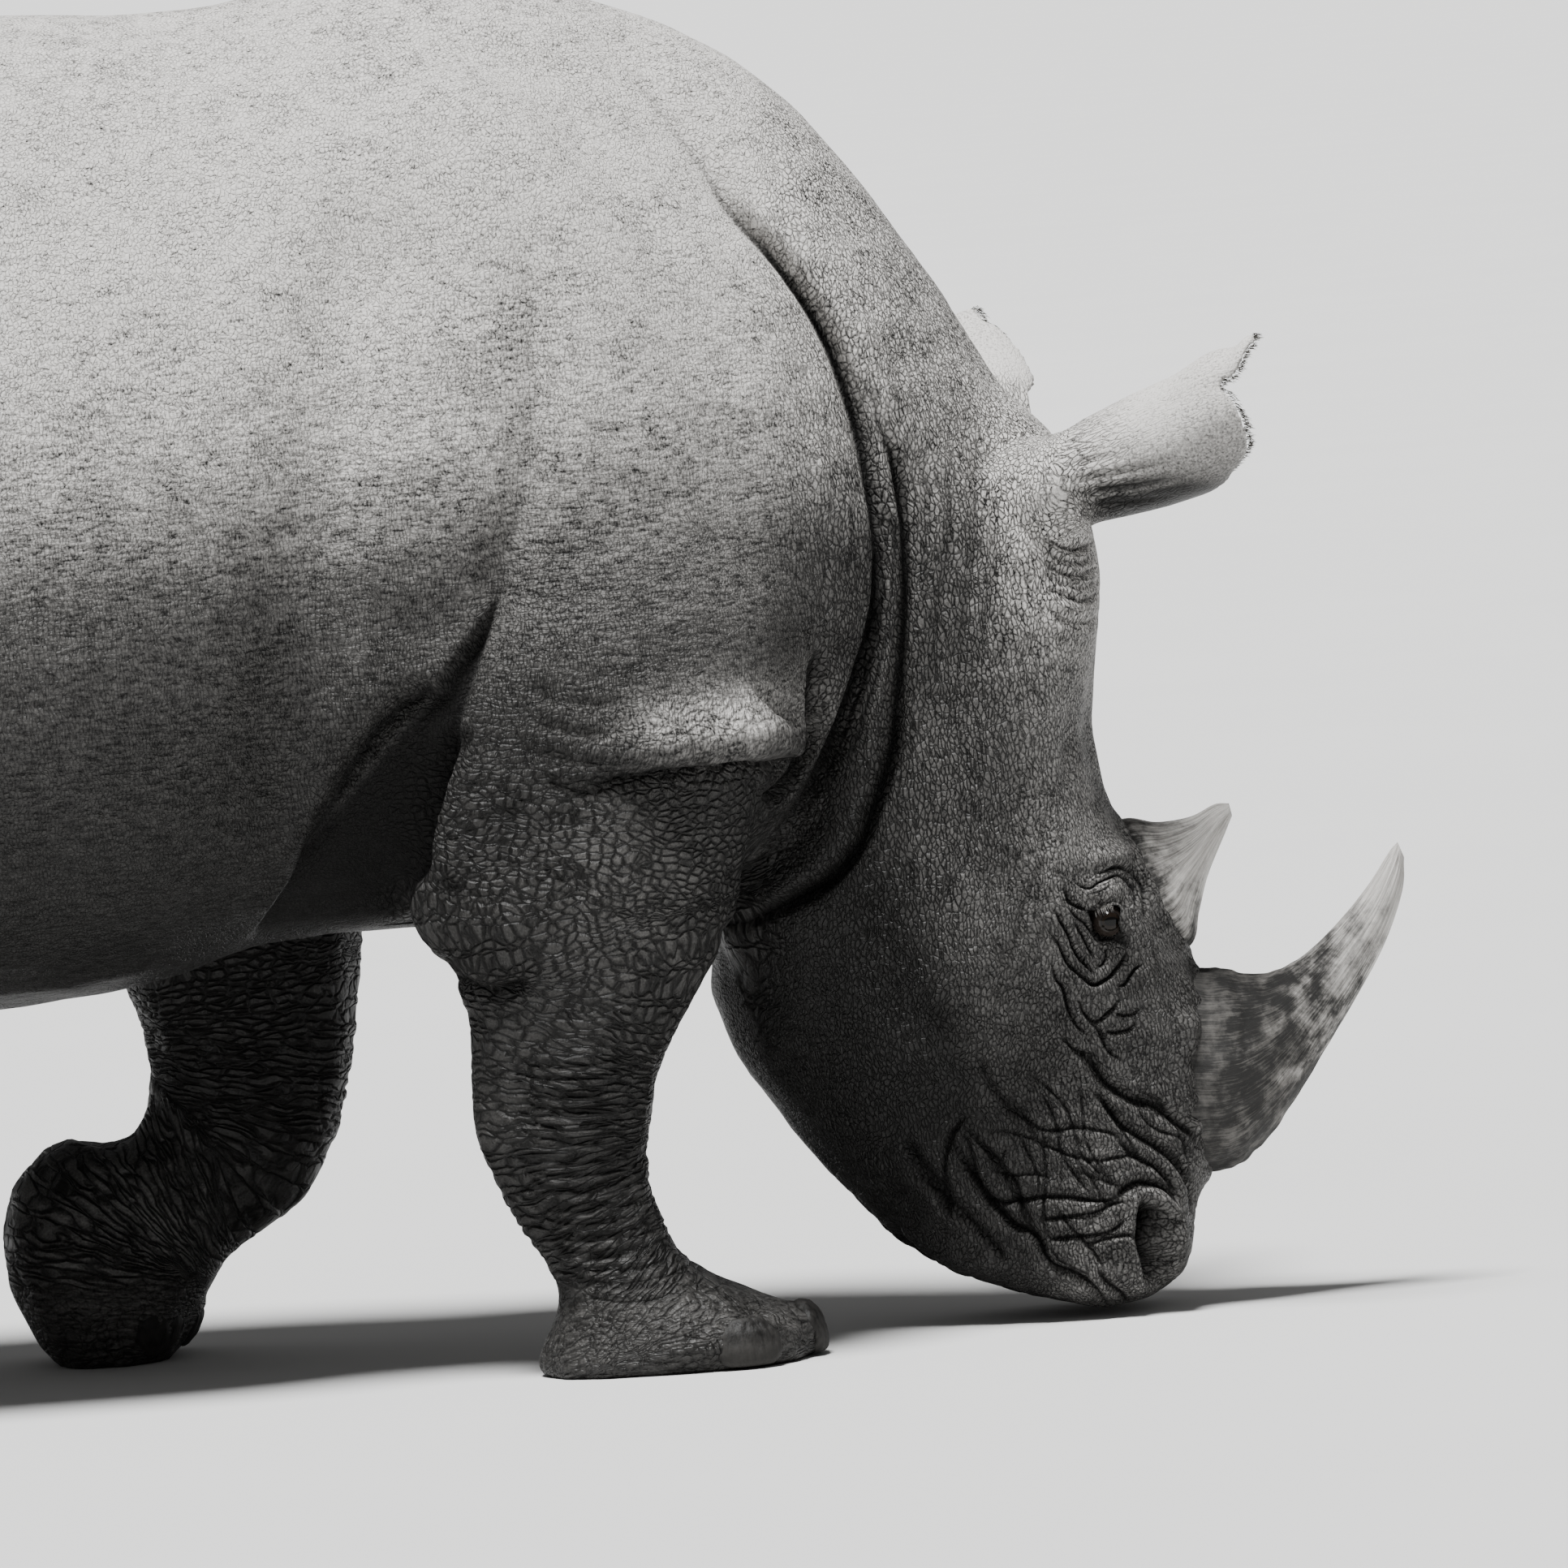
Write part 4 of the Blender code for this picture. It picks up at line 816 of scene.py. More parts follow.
# The mesh is thinned most where the hide is plain, and least round the eyes, on the lower head and down
# the right foreleg. Slivers that the thinning turns over are eased flat again: their face disagrees
# with the summed directions of its corners.
SHADES = 20
SLIVER_ROUNDS = 4
SLIVER_BELOW = 1.4
eye_gap = np.minimum(*[np.linalg.norm(moved - middle, axis=1) for middle in eyes.values()])
care = 0.8 * ramp(eye_gap, 0.10, 0.045) + 0.18 * head * ramp(z, 0.70, 0.60)
care = np.maximum(care, 0.16 * leg * ramp(y, -0.10, -0.14) * ramp(x, 0.2, 0.3) * ramp(z, 0.55, 0.40))
shades = np.clip((care * SHADES).astype(int), 0, SHADES)
spare = hide.vertex_groups.new(name="spare")
for shade in range(SHADES + 1):
    pick = np.flatnonzero(shades == shade)
    if len(pick):
        spare.add(pick.tolist(), 1.0 - shade / SHADES * 0.9, "REPLACE")
triangles = sum(len(face.vertices) - 2 for face in hide.data.polygons)
apply_modifier(hide, "DECIMATE", ratio=HIDE_TRIANGLES / triangles, use_collapse_triangulate=True,
               vertex_group="spare", vertex_group_factor=0.0002)
bpy.ops.object.shade_smooth()
for _ in range(SLIVER_ROUNDS):
    corners = np.empty(len(hide.data.loops), np.int32)
    hide.data.loops.foreach_get("vertex_index", corners)
    corners = corners.reshape(-1, 3)
    normals = np.empty(len(hide.data.polygons) * 3)
    hide.data.polygons.foreach_get("normal", normals)
    agree = (outward(hide)[corners].sum(axis=1) * normals.reshape(-1, 3)).sum(axis=1)
    loose = np.zeros(len(hide.data.vertices))
    loose[corners[agree < SLIVER_BELOW].ravel()] = 1.0
    set_coords(hide, eased(hide, 2, loose))

# Hide as it looks: dry grey skin a finger thick, broken by a net of cracks, dusted pale on the back and
# darker on the legs, belly and jaw, partly stain and partly painted shade, with painted shade in its cracks
# and folds. Its fine cells stand upright, and the coarse ones on the legs lie level.
FINE_CELLS = 205.0
COARSE_CELLS = 116.0


class Wire:
    """One output in a shader tree. Arithmetic on it adds the nodes that carry it out."""

    def __init__(self, tree, socket=None):
        self.tree = tree
        self.socket = socket

    def node(self, kind, settings, sockets, out=0):
        """Add a node, with its settings first and then its sockets' values or links. Gives one output."""
        added = self.tree.nodes.new(kind)
        for key, value in settings.items():
            setattr(added, key, value)
        for key, value in sockets.items():
            if isinstance(value, Wire):
                self.tree.links.new(value.socket, added.inputs[key])
            else:
                added.inputs[key].default_value = value
        return Wire(self.tree, added.outputs[out])

    def maths(self, operation, *values):
        """One sum on numbers and wires."""
        return self.node("ShaderNodeMath", {"operation": operation}, dict(enumerate(values)))

    def __add__(self, other):
        return self.maths("ADD", self, other)

    def __sub__(self, other):
        return self.maths("SUBTRACT", self, other)

    def __rsub__(self, other):
        return self.maths("SUBTRACT", other, self)

    def __mul__(self, other):
        return self.maths("MULTIPLY", self, other)

    __radd__ = __add__
    __rmul__ = __mul__

    def step(self, low, high):
        """0 below low, 1 above high, smooth between. It falls instead where high is under low."""
        if low > high:
            return 1.0 - self.step(high, low)
        return self.node("ShaderNodeMapRange", {"interpolation_type": "SMOOTHSTEP"},
                         {"Value": self, "From Min": low, "From Max": high})

    def attribute(self, name, out="Fac"):
        """What the mesh keeps under a name."""
        return self.node("ShaderNodeAttribute", {"attribute_name": name}, {}, out)

    def place(self):
        """The place on the animal, in metres."""
        return self.node("ShaderNodeTexCoord", {}, {}, "Object")

    def axis(self, name):
        """A vector's number along X, Y or Z."""
        return self.node("ShaderNodeSeparateXYZ", {}, {"Vector": self}, name)

    def stretch(self, scale):
        """A vector multiplied axis by axis."""
        return self.node("ShaderNodeVectorMath", {"operation": "MULTIPLY"}, {0: self, 1: scale})

    def cloud(self, scale, detail=3.0, rough=0.55):
        """Noise at a place."""
        return self.node("ShaderNodeTexNoise", {},
                         {"Vector": self, "Scale": scale, "Detail": detail, "Roughness": rough})

    def cracks(self, scale, rand=1.0):
        """How far a place lies from the nearest crack of a net of cells, in cells."""
        return self.node("ShaderNodeTexVoronoi", {"feature": "DISTANCE_TO_EDGE"},
                         {"Vector": self, "Scale": scale, "Randomness": rand})

    def blend(self, low, high):
        """A number that goes from low to high as this one goes from 0 to 1."""
        return self.node("ShaderNodeMix", {"data_type": "FLOAT"}, {0: self, 2: low, 3: high})

    def tint(self, low, high):
        """A colour that goes from low to high as this number goes from 0 to 1."""
        return self.node("ShaderNodeMix", {"data_type": "RGBA"}, {0: self, 6: low, 7: high}, 2)

    def bump(self, distance):
        """A surface raised by this height times the distance."""
        return self.node("ShaderNodeBump", {}, {"Height": self, "Distance": distance})


def finish(name, **values):
    """A new material, its shader with these values on its sockets, and the wire its nodes grow from."""
    material = bpy.data.materials.new(name)
    material.use_nodes = True
    shader = material.node_tree.nodes["Principled BSDF"]
    for key, value in values.items():
        shader.inputs[key.replace("_", " ")].default_value = value
    return material, shader, Wire(material.node_tree)


def feed(shader, **wires):
    """Link wires to the shader's sockets."""
    for key, wire in wires.items():
        wire.tree.links.new(wire.socket, shader.inputs[key.replace("_", " ")])


def grey(level, warmth=0.05):
    """A nearly neutral colour."""
    return (level * (1 + warmth), level, level * (1 - 1.4 * warmth), 1.0)


form = coords(hide)
facing = outward(hide)
x, y, z = form.T
leg = np.empty(len(form), np.float32)
hide.data.attributes["leg"].data.foreach_get("value", leg)
# How pale each part is by height: pale dust on the back, and painted shade darkening it lower down.
DUST_AND_SHADE = {"barrel": ((0.30, 0.012), (0.56, 0.014), (0.70, 0.032), (0.85, 0.075), (0.98, 0.13), (1.09, 0.44),
                   (1.20, 0.76), (1.35, 0.94), (1.45, 1.00)),
        "neck": ((0.30, 0.04), (0.60, 0.10), (0.70, 0.11), (0.94, 0.14), (1.05, 0.31), (1.15, 0.49),
                 (1.30, 0.57), (1.50, 0.88)),
        "head": ((0.00, 0.21), (0.20, 0.14), (0.40, 0.090), (0.55, 0.20), (0.71, 0.22), (0.80, 0.35),
                 (0.90, 0.70), (1.05, 0.92), (1.20, 1.00))}
dust_and_shade_parts = {part: np.interp(z, *np.array(steps).T) for part, steps in DUST_AND_SHADE.items()}
pale = dust_and_shade_parts["barrel"]
for part, start, end in (("neck", 0.90, 1.02), ("head", 1.06, 1.16)):
    pale = pale + (dust_and_shade_parts[part] - pale) * ramp(x, start, end)
# The legs are darker below the body, partly mud and partly painted shade.
pale += (0.050 - pale) * leg * ramp(z, 0.75, 0.60)
# Paler and darker patches: painted highlights on the top of the flap over the forearm, the cheek, the
# upper lid and the swellings at the ear roots, painted shade under the jaw and throat, and paler or darker
# tone on the forearm, the far foot and the nose. Place, breadth, tallness, how much paler.
for x0, z0, across, tall, paler in (
        (0.76, 0.785, 0.100, 0.040, 0.60), (0.62, 0.60, 0.09, 0.11, 0.09), (1.04, 0.43, 0.07, 0.10, 0.06),
        (1.165, 0.90, 0.04, 0.05, 0.10), (1.14, 1.02, 0.05, 0.07, 0.30), (-0.03, 0.15, 0.12, 0.12, 0.05),
        (0.81, 0.34, 0.06, 0.12, -0.10), (1.20, 0.525, 0.024, 0.016, 0.16), (1.24, 0.42, 0.03, 0.06, -0.04),
        (0.95, 0.36, 0.07, 0.12, -0.10)):
    pale += paler * bell(x, x0, across) * bell(z, z0, tall)
# Painted light: the hide is paler where it faces up and darker where it faces down.
pale *= 0.86 + 0.28 * ramp(facing[:, 2], -0.5, 0.8)
sleek = np.zeros(len(form))
for (root, axis, _, _), _ in EARS.values():
    along = (form - root) @ axis / EAR_LENGTH
    beside = ramp(np.linalg.norm(form - root - axis * (along * EAR_LENGTH)[:, None], axis=1), 0.16, 0.11)
    sleek = np.maximum(sleek, ramp(along, 0.16, 0.55) * beside)
    # Painted light on each ear: full where it faces up, with painted shade on its underside, most toward
    # the root.
    lit = 1.0 + 1.15 * np.minimum(facing[:, 2] - 0.15, 0.0) * (1.50 - along)
    pale += (lit - pale) * ramp(along, 0.02, 0.30) * beside
# Painted shade on the far foreleg under the body.
far_shin_shade = ramp(y, 0.05, 0.15) * ramp(z, 0.62, 0.50) * ramp(z, 0.16, 0.34)
pale = np.clip(pale, 0.012, 1.0) * (1.0 - 0.60 * far_shin_shade)
keep(hide, pale=pale, sleek=sleek)

hide_finish, skin, wire = finish("weathered_hide", Roughness=0.82, Specular_IOR_Level=0.18)
fold_shade = wire.attribute("fold")
on_head = wire.attribute("head")
dust_and_shade = wire.attribute("pale")
on_coarse = wire.attribute("coarse")
hung = wire.attribute("hung", "Vector")
place = wire.place()
on_barrel = place.axis("X").step(0.93, 0.80) * (1.0 - on_coarse)
off_ear = wire.attribute("sleek").blend(1.0, 0.14)
on_neck = (1.0 - on_barrel) * (1.0 - on_coarse) * (1.0 - on_head) * off_ear

# The net of cracks, fine on the body and head and coarse on the legs, and the cells it leaves standing.
fine_edge = hung.stretch((1.0, 1.0, 0.50)).cracks(FINE_CELLS)
coarse_edge = hung.stretch((0.56, 0.56, 1.0)).cracks(COARSE_CELLS, 0.8)
fine_dome = fine_edge.step(0.0, 0.20)
coarse_dome = coarse_edge.step(0.0, 0.24)
dome = on_coarse.blend(fine_dome, coarse_dome)
crack = on_coarse.blend(fine_edge.step(0.080, 0.0), coarse_edge.step(0.085, 0.010))
depth = on_coarse.blend(on_barrel.blend(1.0, 0.40) * on_head.blend(1.0, 0.70), 1.0) * off_ear

# Stains and dust: broad mottling, patches, level streaks on the barrel, upright furrows on the neck,
# fine grain, and crumbs of dried mud where the mottling is thick.
mottle = place.cloud(4.6, 4.0, 0.62)
patchy = place.stretch((1.0, 1.0, 1.7)).cloud(17.0, 4.0, 0.68)
streak = place.stretch((0.28, 0.28, 1.0)).cloud(215.0, 2.0, 0.6)
furrow = place.stretch((1.0, 1.0, 0.24)).cloud(120.0, 2.0, 0.6)
grain = place.cloud(330.0, 1.0, 0.6)
crumb = place.stretch((0.7, 0.7, 1.0)).cloud(170.0, 1.0, 0.5).step(0.58, 0.70) * mottle.step(0.48, 0.62)
crumb = crumb * (1.0 - on_coarse) * off_ear * on_head.blend(1.0, 0.4)

# The sharp line at the bottom of a fold wanders a little and breaks up here and there.
wander = wire.attribute("ruled") + (patchy - 0.5) * 4.0
line = wander.maths("ABSOLUTE", wander).step(2.0, 0.5) * wire.attribute("ink")
line = line * patchy.step(0.34, 0.52).blend(0.55, 1.0)

# Colour: dust and painted shade as pale as its patterns make it, then painted shade and dirt in the cracks,
# painted shade in the folds and lines, and mud laid over it.
gain = 1.0 + (mottle - 0.5) * 0.8
gain = gain + (patchy - 0.5) * on_barrel.blend(2.5, 1.1) * on_neck.blend(1.0, 0.6) * off_ear
gain = gain + (streak - 0.5) * dust_and_shade.blend(4.2, 1.6) * on_barrel
gain = gain + (furrow - 0.5) * dust_and_shade.blend(2.6, 1.0) * on_neck
# The backs of the cells are paler, a painted highlight, and the hollows between them darker, painted shade.
gain = gain + (dome - 0.80) * 0.7 * depth + (grain - 0.5) * on_head.blend(2.0, 3.2)
shown = (dust_and_shade * gain).tint(grey(0.006), grey(0.600, 0.030))
# Painted shade and dirt in the cracks, painted shade in the folds and along the lines at their bottoms.
shown = (crack * depth * dust_and_shade.step(0.03, 0.45).blend(0.97, 0.34)).tint(shown, grey(0.006))
shown = (fold_shade * 0.93).tint(shown, grey(0.004))
shown = (line * 0.78).tint(shown, grey(0.004))
shown = (crumb * 0.12).tint(shown, grey(0.06, 0.08))

# Relief in metres.
relief = on_coarse.blend(fine_dome * depth * 0.0026, coarse_dome * 0.0058 + fine_dome * 0.0006)
relief = relief + grain * 0.0006 + streak * on_barrel * dust_and_shade.blend(0.0050, 0.0014)
relief = relief + patchy * off_ear * 0.0036 + crumb * 0.0026 - line * 0.0016
relief = relief + furrow * on_neck * 0.0060
feed(skin, Base_Color=shown, Normal=relief.bump(1.0), Roughness=dust_and_shade.blend(0.44, 0.86) + fold_shade * 0.4)
hide.data.materials.append(hide_finish)
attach(hide, "root")
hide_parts(*FLESH, "right_ear", "left_ear")

# Eyes: one wet dark ball behind each pair of lids, with a brown iris, a level oval pupil and a clear
# bulging cornea that carries the highlight.
CORNEA_BULGE = 0.075
eye_finish, gloss, wire = finish("wet_eye", Roughness=0.16, Coat_Weight=0.30, Coat_Roughness=0.03,
                                 Specular_IOR_Level=0.05)
turned = wire.attribute("turned")
rays = wire.attribute("rays").cloud(1.0, 3.0, 0.6)
iris = (rays * 0.8).tint((0.014, 0.009, 0.006, 1.0), (0.004, 0.003, 0.002, 1.0))
white = wire.place().cloud(260.0, 3.0).tint((0.010, 0.008, 0.007, 1.0), (0.030, 0.024, 0.020, 1.0))
ball_colour = turned.step(0.56, 0.62).tint(iris, white)
ball_colour = (turned.step(0.50, 0.57) * turned.step(0.66, 0.60)).tint(ball_colour, grey(0.006))
ball_colour = wire.attribute("oval").step(0.27, 0.22).tint(ball_colour, grey(0.002))
feed(gloss, Base_Color=ball_colour)
for node, middle in eyes.items():
    bpy.ops.object.select_all(action="DESELECT")
    bpy.ops.mesh.primitive_uv_sphere_add(segments=72, ring_count=48, radius=EYE_BALL, location=middle,
                                         rotation=(math.radians(90), 0.0, 0.0))
    ball = bpy.context.object
    ball.name = node.replace("eye", "eyeball")
    bpy.ops.object.transform_apply(location=True, rotation=True, scale=True)
    bpy.ops.object.shade_smooth()
    around = (coords(ball) - middle) / EYE_BALL
    gaze = np.array((0.22, np.sign(middle[1]) * 0.96, -0.05))
    gaze /= np.linalg.norm(gaze)
    level = np.cross(gaze, (0.0, 0.0, 1.0))
    level /= np.linalg.norm(level)
    off = np.arccos(np.clip(around @ gaze, -1.0, 1.0))
    bulge = 1.0 + CORNEA_BULGE * ramp(off, 0.68, 0.30)
    set_coords(ball, middle + around * EYE_BALL * bulge[:, None])
    sideways, upward = around @ level, around @ np.cross(level, gaze)
    angle = np.arctan2(upward, sideways)
    keep(ball, turned=off, oval=np.hypot(sideways * 0.62, upward) + (off > 1.5),
         rays=np.stack([9 * np.cos(angle), 9 * np.sin(angle), 3 * off], axis=1))
    ball.data.materials.append(eye_finish)
    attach(ball, "root")
    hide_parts(node)

# Horns: compressed hair-like fibres with no bone, grown from the skin of the nose. The front one is
# ground pale and smooth toward its tip and stays dark, pitted and frayed where it meets the skin.
# Rows from root to tip: upper edge (x, z), lower edge (x, z) and half width.
FRONT_HORN = ((1.2345, 0.410, 1.2225, 0.186, 0.088), (1.2595, 0.415, 1.2395, 0.171, 0.098),
              (1.3305, 0.411, 1.3205, 0.160, 0.102), (1.3655, 0.404, 1.3665, 0.182, 0.088),
              (1.4045, 0.402, 1.4145, 0.236, 0.070), (1.4445, 0.420, 1.4655, 0.308, 0.054),
              (1.4865, 0.454, 1.5075, 0.368, 0.042), (1.5285, 0.498, 1.5435, 0.426, 0.031),
              (1.5555, 0.535, 1.5685, 0.486, 0.019), (1.5685, 0.550, 1.5755, 0.530, 0.009))
REAR_HORN = ((1.1735, 0.566, 1.2325, 0.410, 0.058), (1.1865, 0.584, 1.2475, 0.425, 0.066),
             (1.2345, 0.603, 1.3045, 0.441, 0.068), (1.2745, 0.596, 1.3185, 0.483, 0.052),
             (1.3155, 0.600, 1.3315, 0.525, 0.034), (1.3465, 0.613, 1.3505, 0.565, 0.021),
             (1.3645, 0.613, 1.3675, 0.597, 0.010))
# Rows, length along the curve, and a power of the height: under 1, wear reaches further down.
HORNS = {"front_horn": (FRONT_HORN, 0.45, 1.0), "rear_horn": (REAR_HORN, 0.22, 0.5)}
HORN_SIDES = 144
HORN_STEPS = 14
horn_finish, keratin, wire = finish("worn_horn", Roughness=0.55)
grown = wire.attribute("grown")
strand = wire.attribute("strand", "Vector")
fibre = strand.stretch((1.0, 1.0, 0.10)).cloud(16.0, 4.0, 0.65)
fine_fibre = strand.stretch((1.0, 1.0, 0.07)).cloud(46.0, 3.0, 0.6)
blotch = wire.place().cloud(26.0, 5.0, 0.65)
band = strand.stretch((0.12, 0.12, 1.0)).cloud(14.0, 3.0, 0.6)
bare = grown + (blotch - 0.5) * 0.80 + (fibre - 0.5) * 0.22
polished = bare.step(0.48, 0.84)
rind = (blotch + (fine_fibre - 0.5) * 0.5).step(0.42, 0.74).tint(grey(0.012, 0.05), grey(0.150, 0.05))
clean = (fibre * 0.6 + fine_fibre * 0.4).step(0.30, 0.68).tint(grey(0.25, 0.05), grey(0.76, 0.035))
horn_colour = polished.tint(rind, clean)
horn_colour = ((fine_fibre + (band - 0.5) * 0.3).step(0.56, 0.66) * 0.35).tint(horn_colour, grey(0.05, 0.1))
horn_colour = (grown.step(0.34, 0.10) * 0.60).tint(horn_colour, grey(0.012))
feed(keratin, Base_Color=horn_colour, Roughness=polished.blend(0.82, 0.46),
     Normal=(fibre * 0.8 + fine_fibre * 0.5 + blotch * polished.blend(1.4, 0.1)).bump(0.0018))


def horn_loft(name, rows, length, wear):
    """A closed horn through its rows, with fibrous ridges all over and a frayed, pitted root."""
    track = flowing(rows, HORN_STEPS)
    turn = np.linspace(0.0, 2 * math.pi, HORN_SIDES, endpoint=False)
    rings, marks = [], []
    for k, (x1, z1, x2, z2, half) in enumerate(track):
        rings.append(np.stack([(x1 + x2) / 2 + (x1 - x2) / 2 * np.cos(turn), half * np.sin(turn),
                               (z1 + z2) / 2 + (z1 - z2) / 2 * np.cos(turn)], axis=1))
        up_horn = np.full(HORN_SIDES, k / (len(track) - 1))
        marks.append(np.stack([np.cos(turn), np.sin(turn), up_horn], axis=1))
    body = shell_of_rings(name, rings)
    marks = np.vstack(marks)
    places, facing = coords(body), outward(body)
    grown = marks[:, 2] ** wear
    threads = marks * (1.0, 1.0, length / 0.12)
    rough = ramp(grown, 0.55, 0.10)
    ridges = 0.0022 * haze(threads, (0.16, 0.16, 1.6), 41) * (0.45 + 0.55 * rough)
    ridges += 0.0010 * haze(threads, (0.07, 0.07, 0.9), 43)
    ridges += rough * (0.0050 * haze(places, 0.030, 47) + 0.0026 * haze(places, 0.012, 49))
    ridges += 0.0012 * haze(threads * (0.2, 0.2, 1.0), 0.10, 53) * ramp(grown, 0.75, 0.3)
    ridges *= ramp(grown, 1.0, 0.93)
    set_coords(body, places + facing * ridges[:, None])
    keep(body, grown=grown, strand=threads)
    return body


for node, (rows, length, wear) in HORNS.items():
    horn = horn_loft(node + "_keratin", rows, length, wear)
    only(horn)
    bpy.ops.object.shade_smooth()
    horn.data.materials.append(horn_finish)
    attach(horn, "root")
    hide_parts(node)

# Toenails: three broad blunt nails on each foot, grown from the skin and worn by walking, ridged
# from root to edge and scuffed paler along the edge.
NAIL_VOXEL = 0.0028
NAIL_ROUNDS = 14
nail_finish, hoof, wire = finish("scuffed_nail", Roughness=0.62, Specular_IOR_Level=0.2)
nail_place = wire.place()
growth = nail_place.stretch((1.0, 1.0, 0.18)).cloud(160.0, 3.0, 0.6)
scuff = nail_place.cloud(45.0, 5.0, 0.7)
nail_tone = (growth * 0.5 + scuff * 0.6 + nail_place.axis("Z").step(0.05, 0.0) * 0.25).step(0.36, 0.86)
feed(hoof, Base_Color=nail_tone.tint(grey(0.003, 0.05), grey(0.030, 0.05)),
     Roughness=nail_tone.blend(0.5, 0.78), Normal=(growth + scuff * 0.7).bump(0.0014))
for node in NAILS:
    nail = welded_copy(node, node.replace("nail", "toenail"))
    apply_modifier(nail, "REMESH", mode="VOXEL", voxel_size=NAIL_VOXEL)
    set_coords(nail, eased(nail, NAIL_ROUNDS))
    places, facing = coords(nail), outward(nail)
    ridges = 0.0016 + 0.0011 * haze(places, (0.006, 0.006, 0.05), 61) + 0.0010 * haze(places, 0.014, 63)
    places = places + facing * (ridges * ramp(places[:, 2], 0.002, 0.012))[:, None]
    places[:, 2] = np.maximum(places[:, 2], 0.0)
    set_coords(nail, places)
    bpy.ops.object.shade_smooth()
    nail.data.materials.append(nail_finish)
    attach(nail, "root")
    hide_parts(node)

# Bristles: the only hair that shows, as stiff dark tufts along the rims of the ears, along the upper
# lids and all round the end of the tail. Each is a thin bent spike rooted in the hide.
FRINGE_COUNT = 900
LASH_COUNT = 46
TUFT_COUNT = 420
THIRD_TURN = 2.0944
TAIL_TIP = 0.17
bristle_finish, hair, wire = finish("dark_bristle", Roughness=0.55)
feed(hair, Base_Color=wire.place().cloud(140.0, 2.0).tint(grey(0.010, 0.12), grey(0.070, 0.12)))


def bristles(name, tufts, thick, droop=0.25):
    """One mesh of tapered tufts, each given by root, way, length and the mark of its patch of the map."""
    points, faces, patches = [], [], []
    for root, way, length, mark in tufts:
        way = way / np.linalg.norm(way)
        side = np.cross(way, (0.31, 0.17, 0.93))
        side /= np.linalg.norm(side)
        other = np.cross(way, side)
        start = len(points)
        for k, width in enumerate((1.0, 0.8, 0.45)):
            middle = root + way * length * k / 3.0 - np.array((0, 0, droop * length * (k / 3.0) ** 2))
            for turn in range(3):
                angle = turn * THIRD_TURN
                points.append(middle + (side * math.cos(angle) + other * math.sin(angle)) * thick * width)
        points.append(root + way * length - np.array((0, 0, droop * length)))
        for k in range(2):
            for turn in range(3):
                a, b = start + 3 * k + turn, start + 3 * k + (turn + 1) % 3
                faces.append((a, b, b + 3, a + 3))
        for turn in range(3):
            faces.append((start + 6 + turn, start + 6 + (turn + 1) % 3, start + 9))
        faces.append((start + 2, start + 1, start))
        patches += [mark + 0.001 * np.array((i % 3, i // 3)) for i in range(10)]
    piece = closed_body(name, points, faces)
    corners = np.empty(len(piece.data.loops), np.int32)
    piece.data.loops.foreach_get("vertex_index", corners)
    sheet = piece.data.uv_layers.new(name="OFBake")
    sheet.data.foreach_set("uv", np.array(patches)[corners].astype(np.float32).ravel())
    piece.data.materials.append(bristle_finish)
    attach(piece, "root")


chance = np.random.default_rng(5)
for node, (fitting, up) in EARS.items():
    rim_rows = ear_rows(up, 12)
    tufts = []
    for k in range(FRINGE_COUNT):
        row = rim_rows[int((0.42 + 0.58 * k / FRINGE_COUNT) * (len(rim_rows) - 1))]
        share, radius, *margins, wall = row
        second_rim = k % 2 == 0
        turn = math.radians(margins[second_rim] + chance.normal(0.0, 3.0))
        further = turn * 1.15 + (0.25 if second_rim else -0.25)
        here = ear_point(fitting, up, share + chance.normal(0.0, 0.006), radius - wall * 0.5, turn)
        way = (ear_point(fitting, up, share, radius - wall * 0.5, further) - here) / 0.02
        way = way + fitting[1] * (0.8 + 0.5 * share) + chance.normal(0.0, 0.22, 3)
        length = chance.uniform(0.004, 0.009)
        mark = np.array((0.05 + 0.42 * share, 0.25 + 0.1 * second_rim + 0.04 * chance.random()))
        tufts.append((here, way, length, mark))
    bristles(node + "_fringe", tufts, thick=0.00050)

lid_line = flowing(OPENING[:5], 8)
for node, middle in eyes.items():
    side = np.sign(middle[1])
    tufts = []
    for k in range(LASH_COUNT):
        x0, z0 = lid_line[int(k / LASH_COUNT * (len(lid_line) - 1))]
        span = math.hypot(x0 - middle[0], z0 - middle[2])
        out = math.sqrt(max((EYE_BALL + 0.003) ** 2 - span ** 2, 0.0))
        root = np.array((x0, middle[1] + side * out, z0 + 0.001))
        way = np.array((0.25 + chance.normal(0, 0.12), side * 0.9, -0.25 + chance.normal(0, 0.12)))
        mark = np.array((0.55 + 0.3 * k / LASH_COUNT, 0.1 if side < 0 else 0.2))
        tufts.append((root, way, chance.uniform(0.008, 0.014), mark))
    bristles(node + "_lashes", tufts, thick=0.00035, droop=0.5)

tail_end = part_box("tail")[0][2]
on_tip = (x < -1.38) & (np.abs(y) < 0.09) & (z > tail_end - 0.01) & (z < tail_end + TAIL_TIP)
tail_skin = form[on_tip]
tufts = []
for k in range(TUFT_COUNT):
    root = tail_skin[chance.integers(len(tail_skin))]
    share = (root[2] - tail_end) / TAIL_TIP
    way = np.array((chance.normal(-0.05, 0.10), np.sign(root[1]) * 0.12 + chance.normal(0, 0.10), -1.0))
    length = chance.uniform(0.05, 0.085) * (1.0 - 0.45 * share)
    mark = np.array((0.1 + 0.3 * share, 0.7 + 0.1 * chance.random()))
    tufts.append((root + np.array((0.0, 0.0, 0.001)), way, length, mark))
bristles("tail_tuft", tufts, thick=0.0012, droop=0.05)

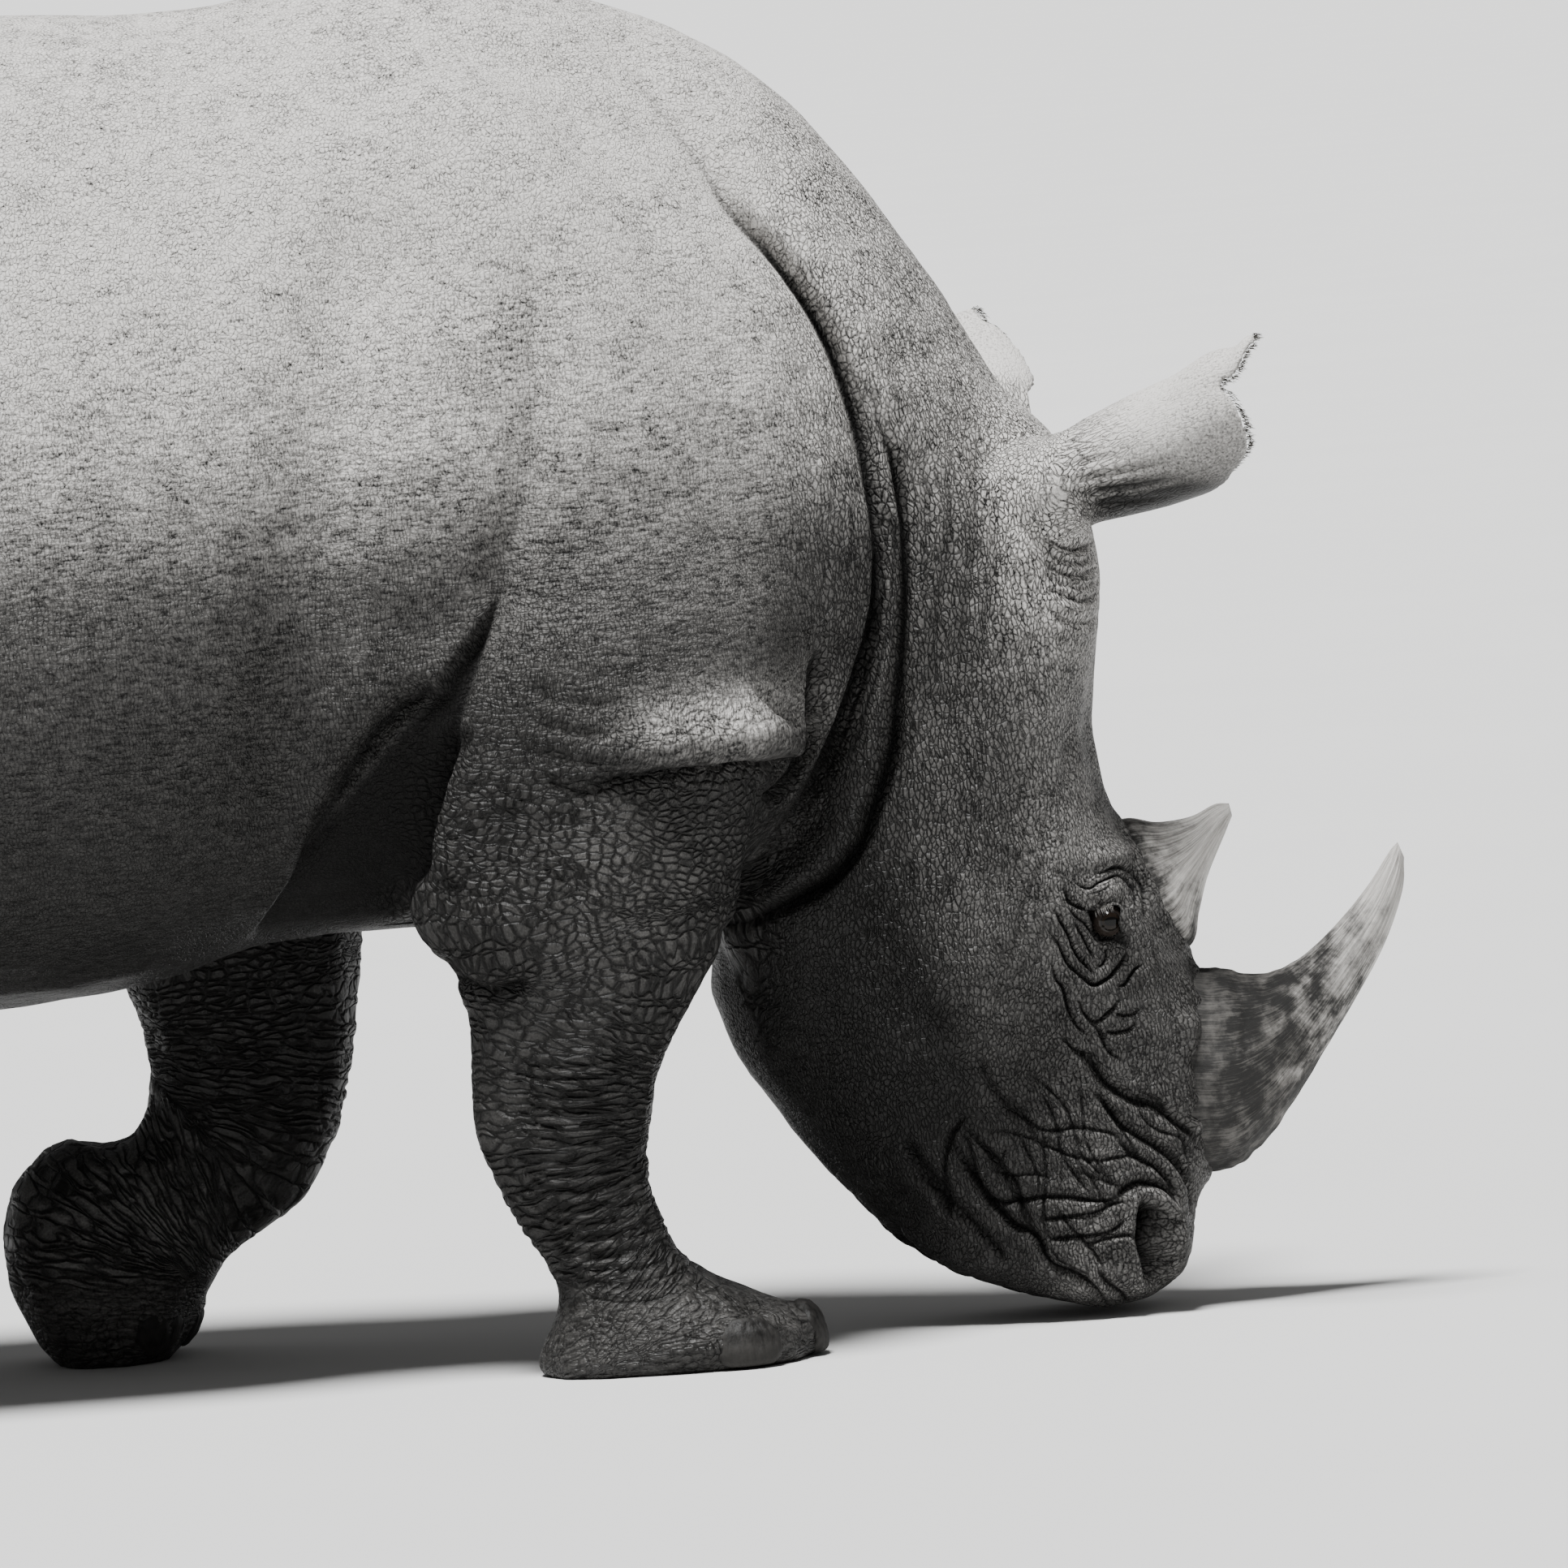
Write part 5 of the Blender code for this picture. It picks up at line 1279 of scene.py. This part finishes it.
# Floor, light and camera. A pale floor, one broad soft light overhead and an even fill all round; the
# camera stands well back on the animal's right, above its back, tilted down a little and rolled.
FLOOR_SIZE = 1200.0
FLOOR_DROP = -0.0005
SUN_STRENGTH = 8.5
SUN_ANGLE = math.radians(17.0)
FILL_STRENGTH = 0.25
SUN_WAY = Vector((0.12, 0.21, -1.0))
bpy.ops.object.select_all(action="DESELECT")
bpy.ops.mesh.primitive_plane_add(size=FLOOR_SIZE, location=(0.0, 0.0, FLOOR_DROP))
floor = bpy.context.object
floor.name = "floor"
bpy.ops.object.transform_apply(location=True, rotation=True, scale=True)
floor_finish, paint, wire = finish("pale_floor", Roughness=0.9)
floor_tone = wire.place().cloud(0.8, 3.0)
feed(paint, Base_Color=floor_tone.tint((0.60, 0.60, 0.595, 1.0), (0.64, 0.64, 0.635, 1.0)))
floor.data.materials.append(floor_finish)

surround = bpy.data.worlds.new("surround")
bpy.context.scene.world = surround
surround.use_nodes = True
fill = surround.node_tree.nodes["Background"]
fill.inputs["Color"].default_value = (0.80, 0.80, 0.80, 1.0)
fill.inputs["Strength"].default_value = FILL_STRENGTH
lamp = bpy.data.lights.new("overhead", "SUN")
lamp.energy = SUN_STRENGTH
lamp.angle = SUN_ANGLE
overhead = placed("overhead", lamp)
overhead.rotation_mode = "QUATERNION"
overhead.rotation_quaternion = SUN_WAY.to_track_quat("-Z", "Y")

CAMERA_AWAY = 18.0
CAMERA_TILT = math.radians(3.5)
CAMERA_ROLL = math.radians(-4.2)
AIM = Vector((0.8196, 0.0, 0.6768))
VIEW_WIDTH = 1.932
SENSOR_WIDTH = 36.0
FAR_CLIP = 1000.0
look = Vector((0.0, math.cos(CAMERA_TILT), -math.sin(CAMERA_TILT)))
lens = bpy.data.cameras.new("camera")
lens.sensor_width = SENSOR_WIDTH
lens.lens = SENSOR_WIDTH * CAMERA_AWAY / VIEW_WIDTH
lens.clip_end = FAR_CLIP
camera = placed("camera", lens)
camera.location = AIM - look * CAMERA_AWAY
camera.rotation_mode = "QUATERNION"
camera.rotation_quaternion = look.to_track_quat("-Z", "Y") @ Quaternion((0.0, 0.0, 1.0), CAMERA_ROLL)
bpy.context.scene.camera = camera
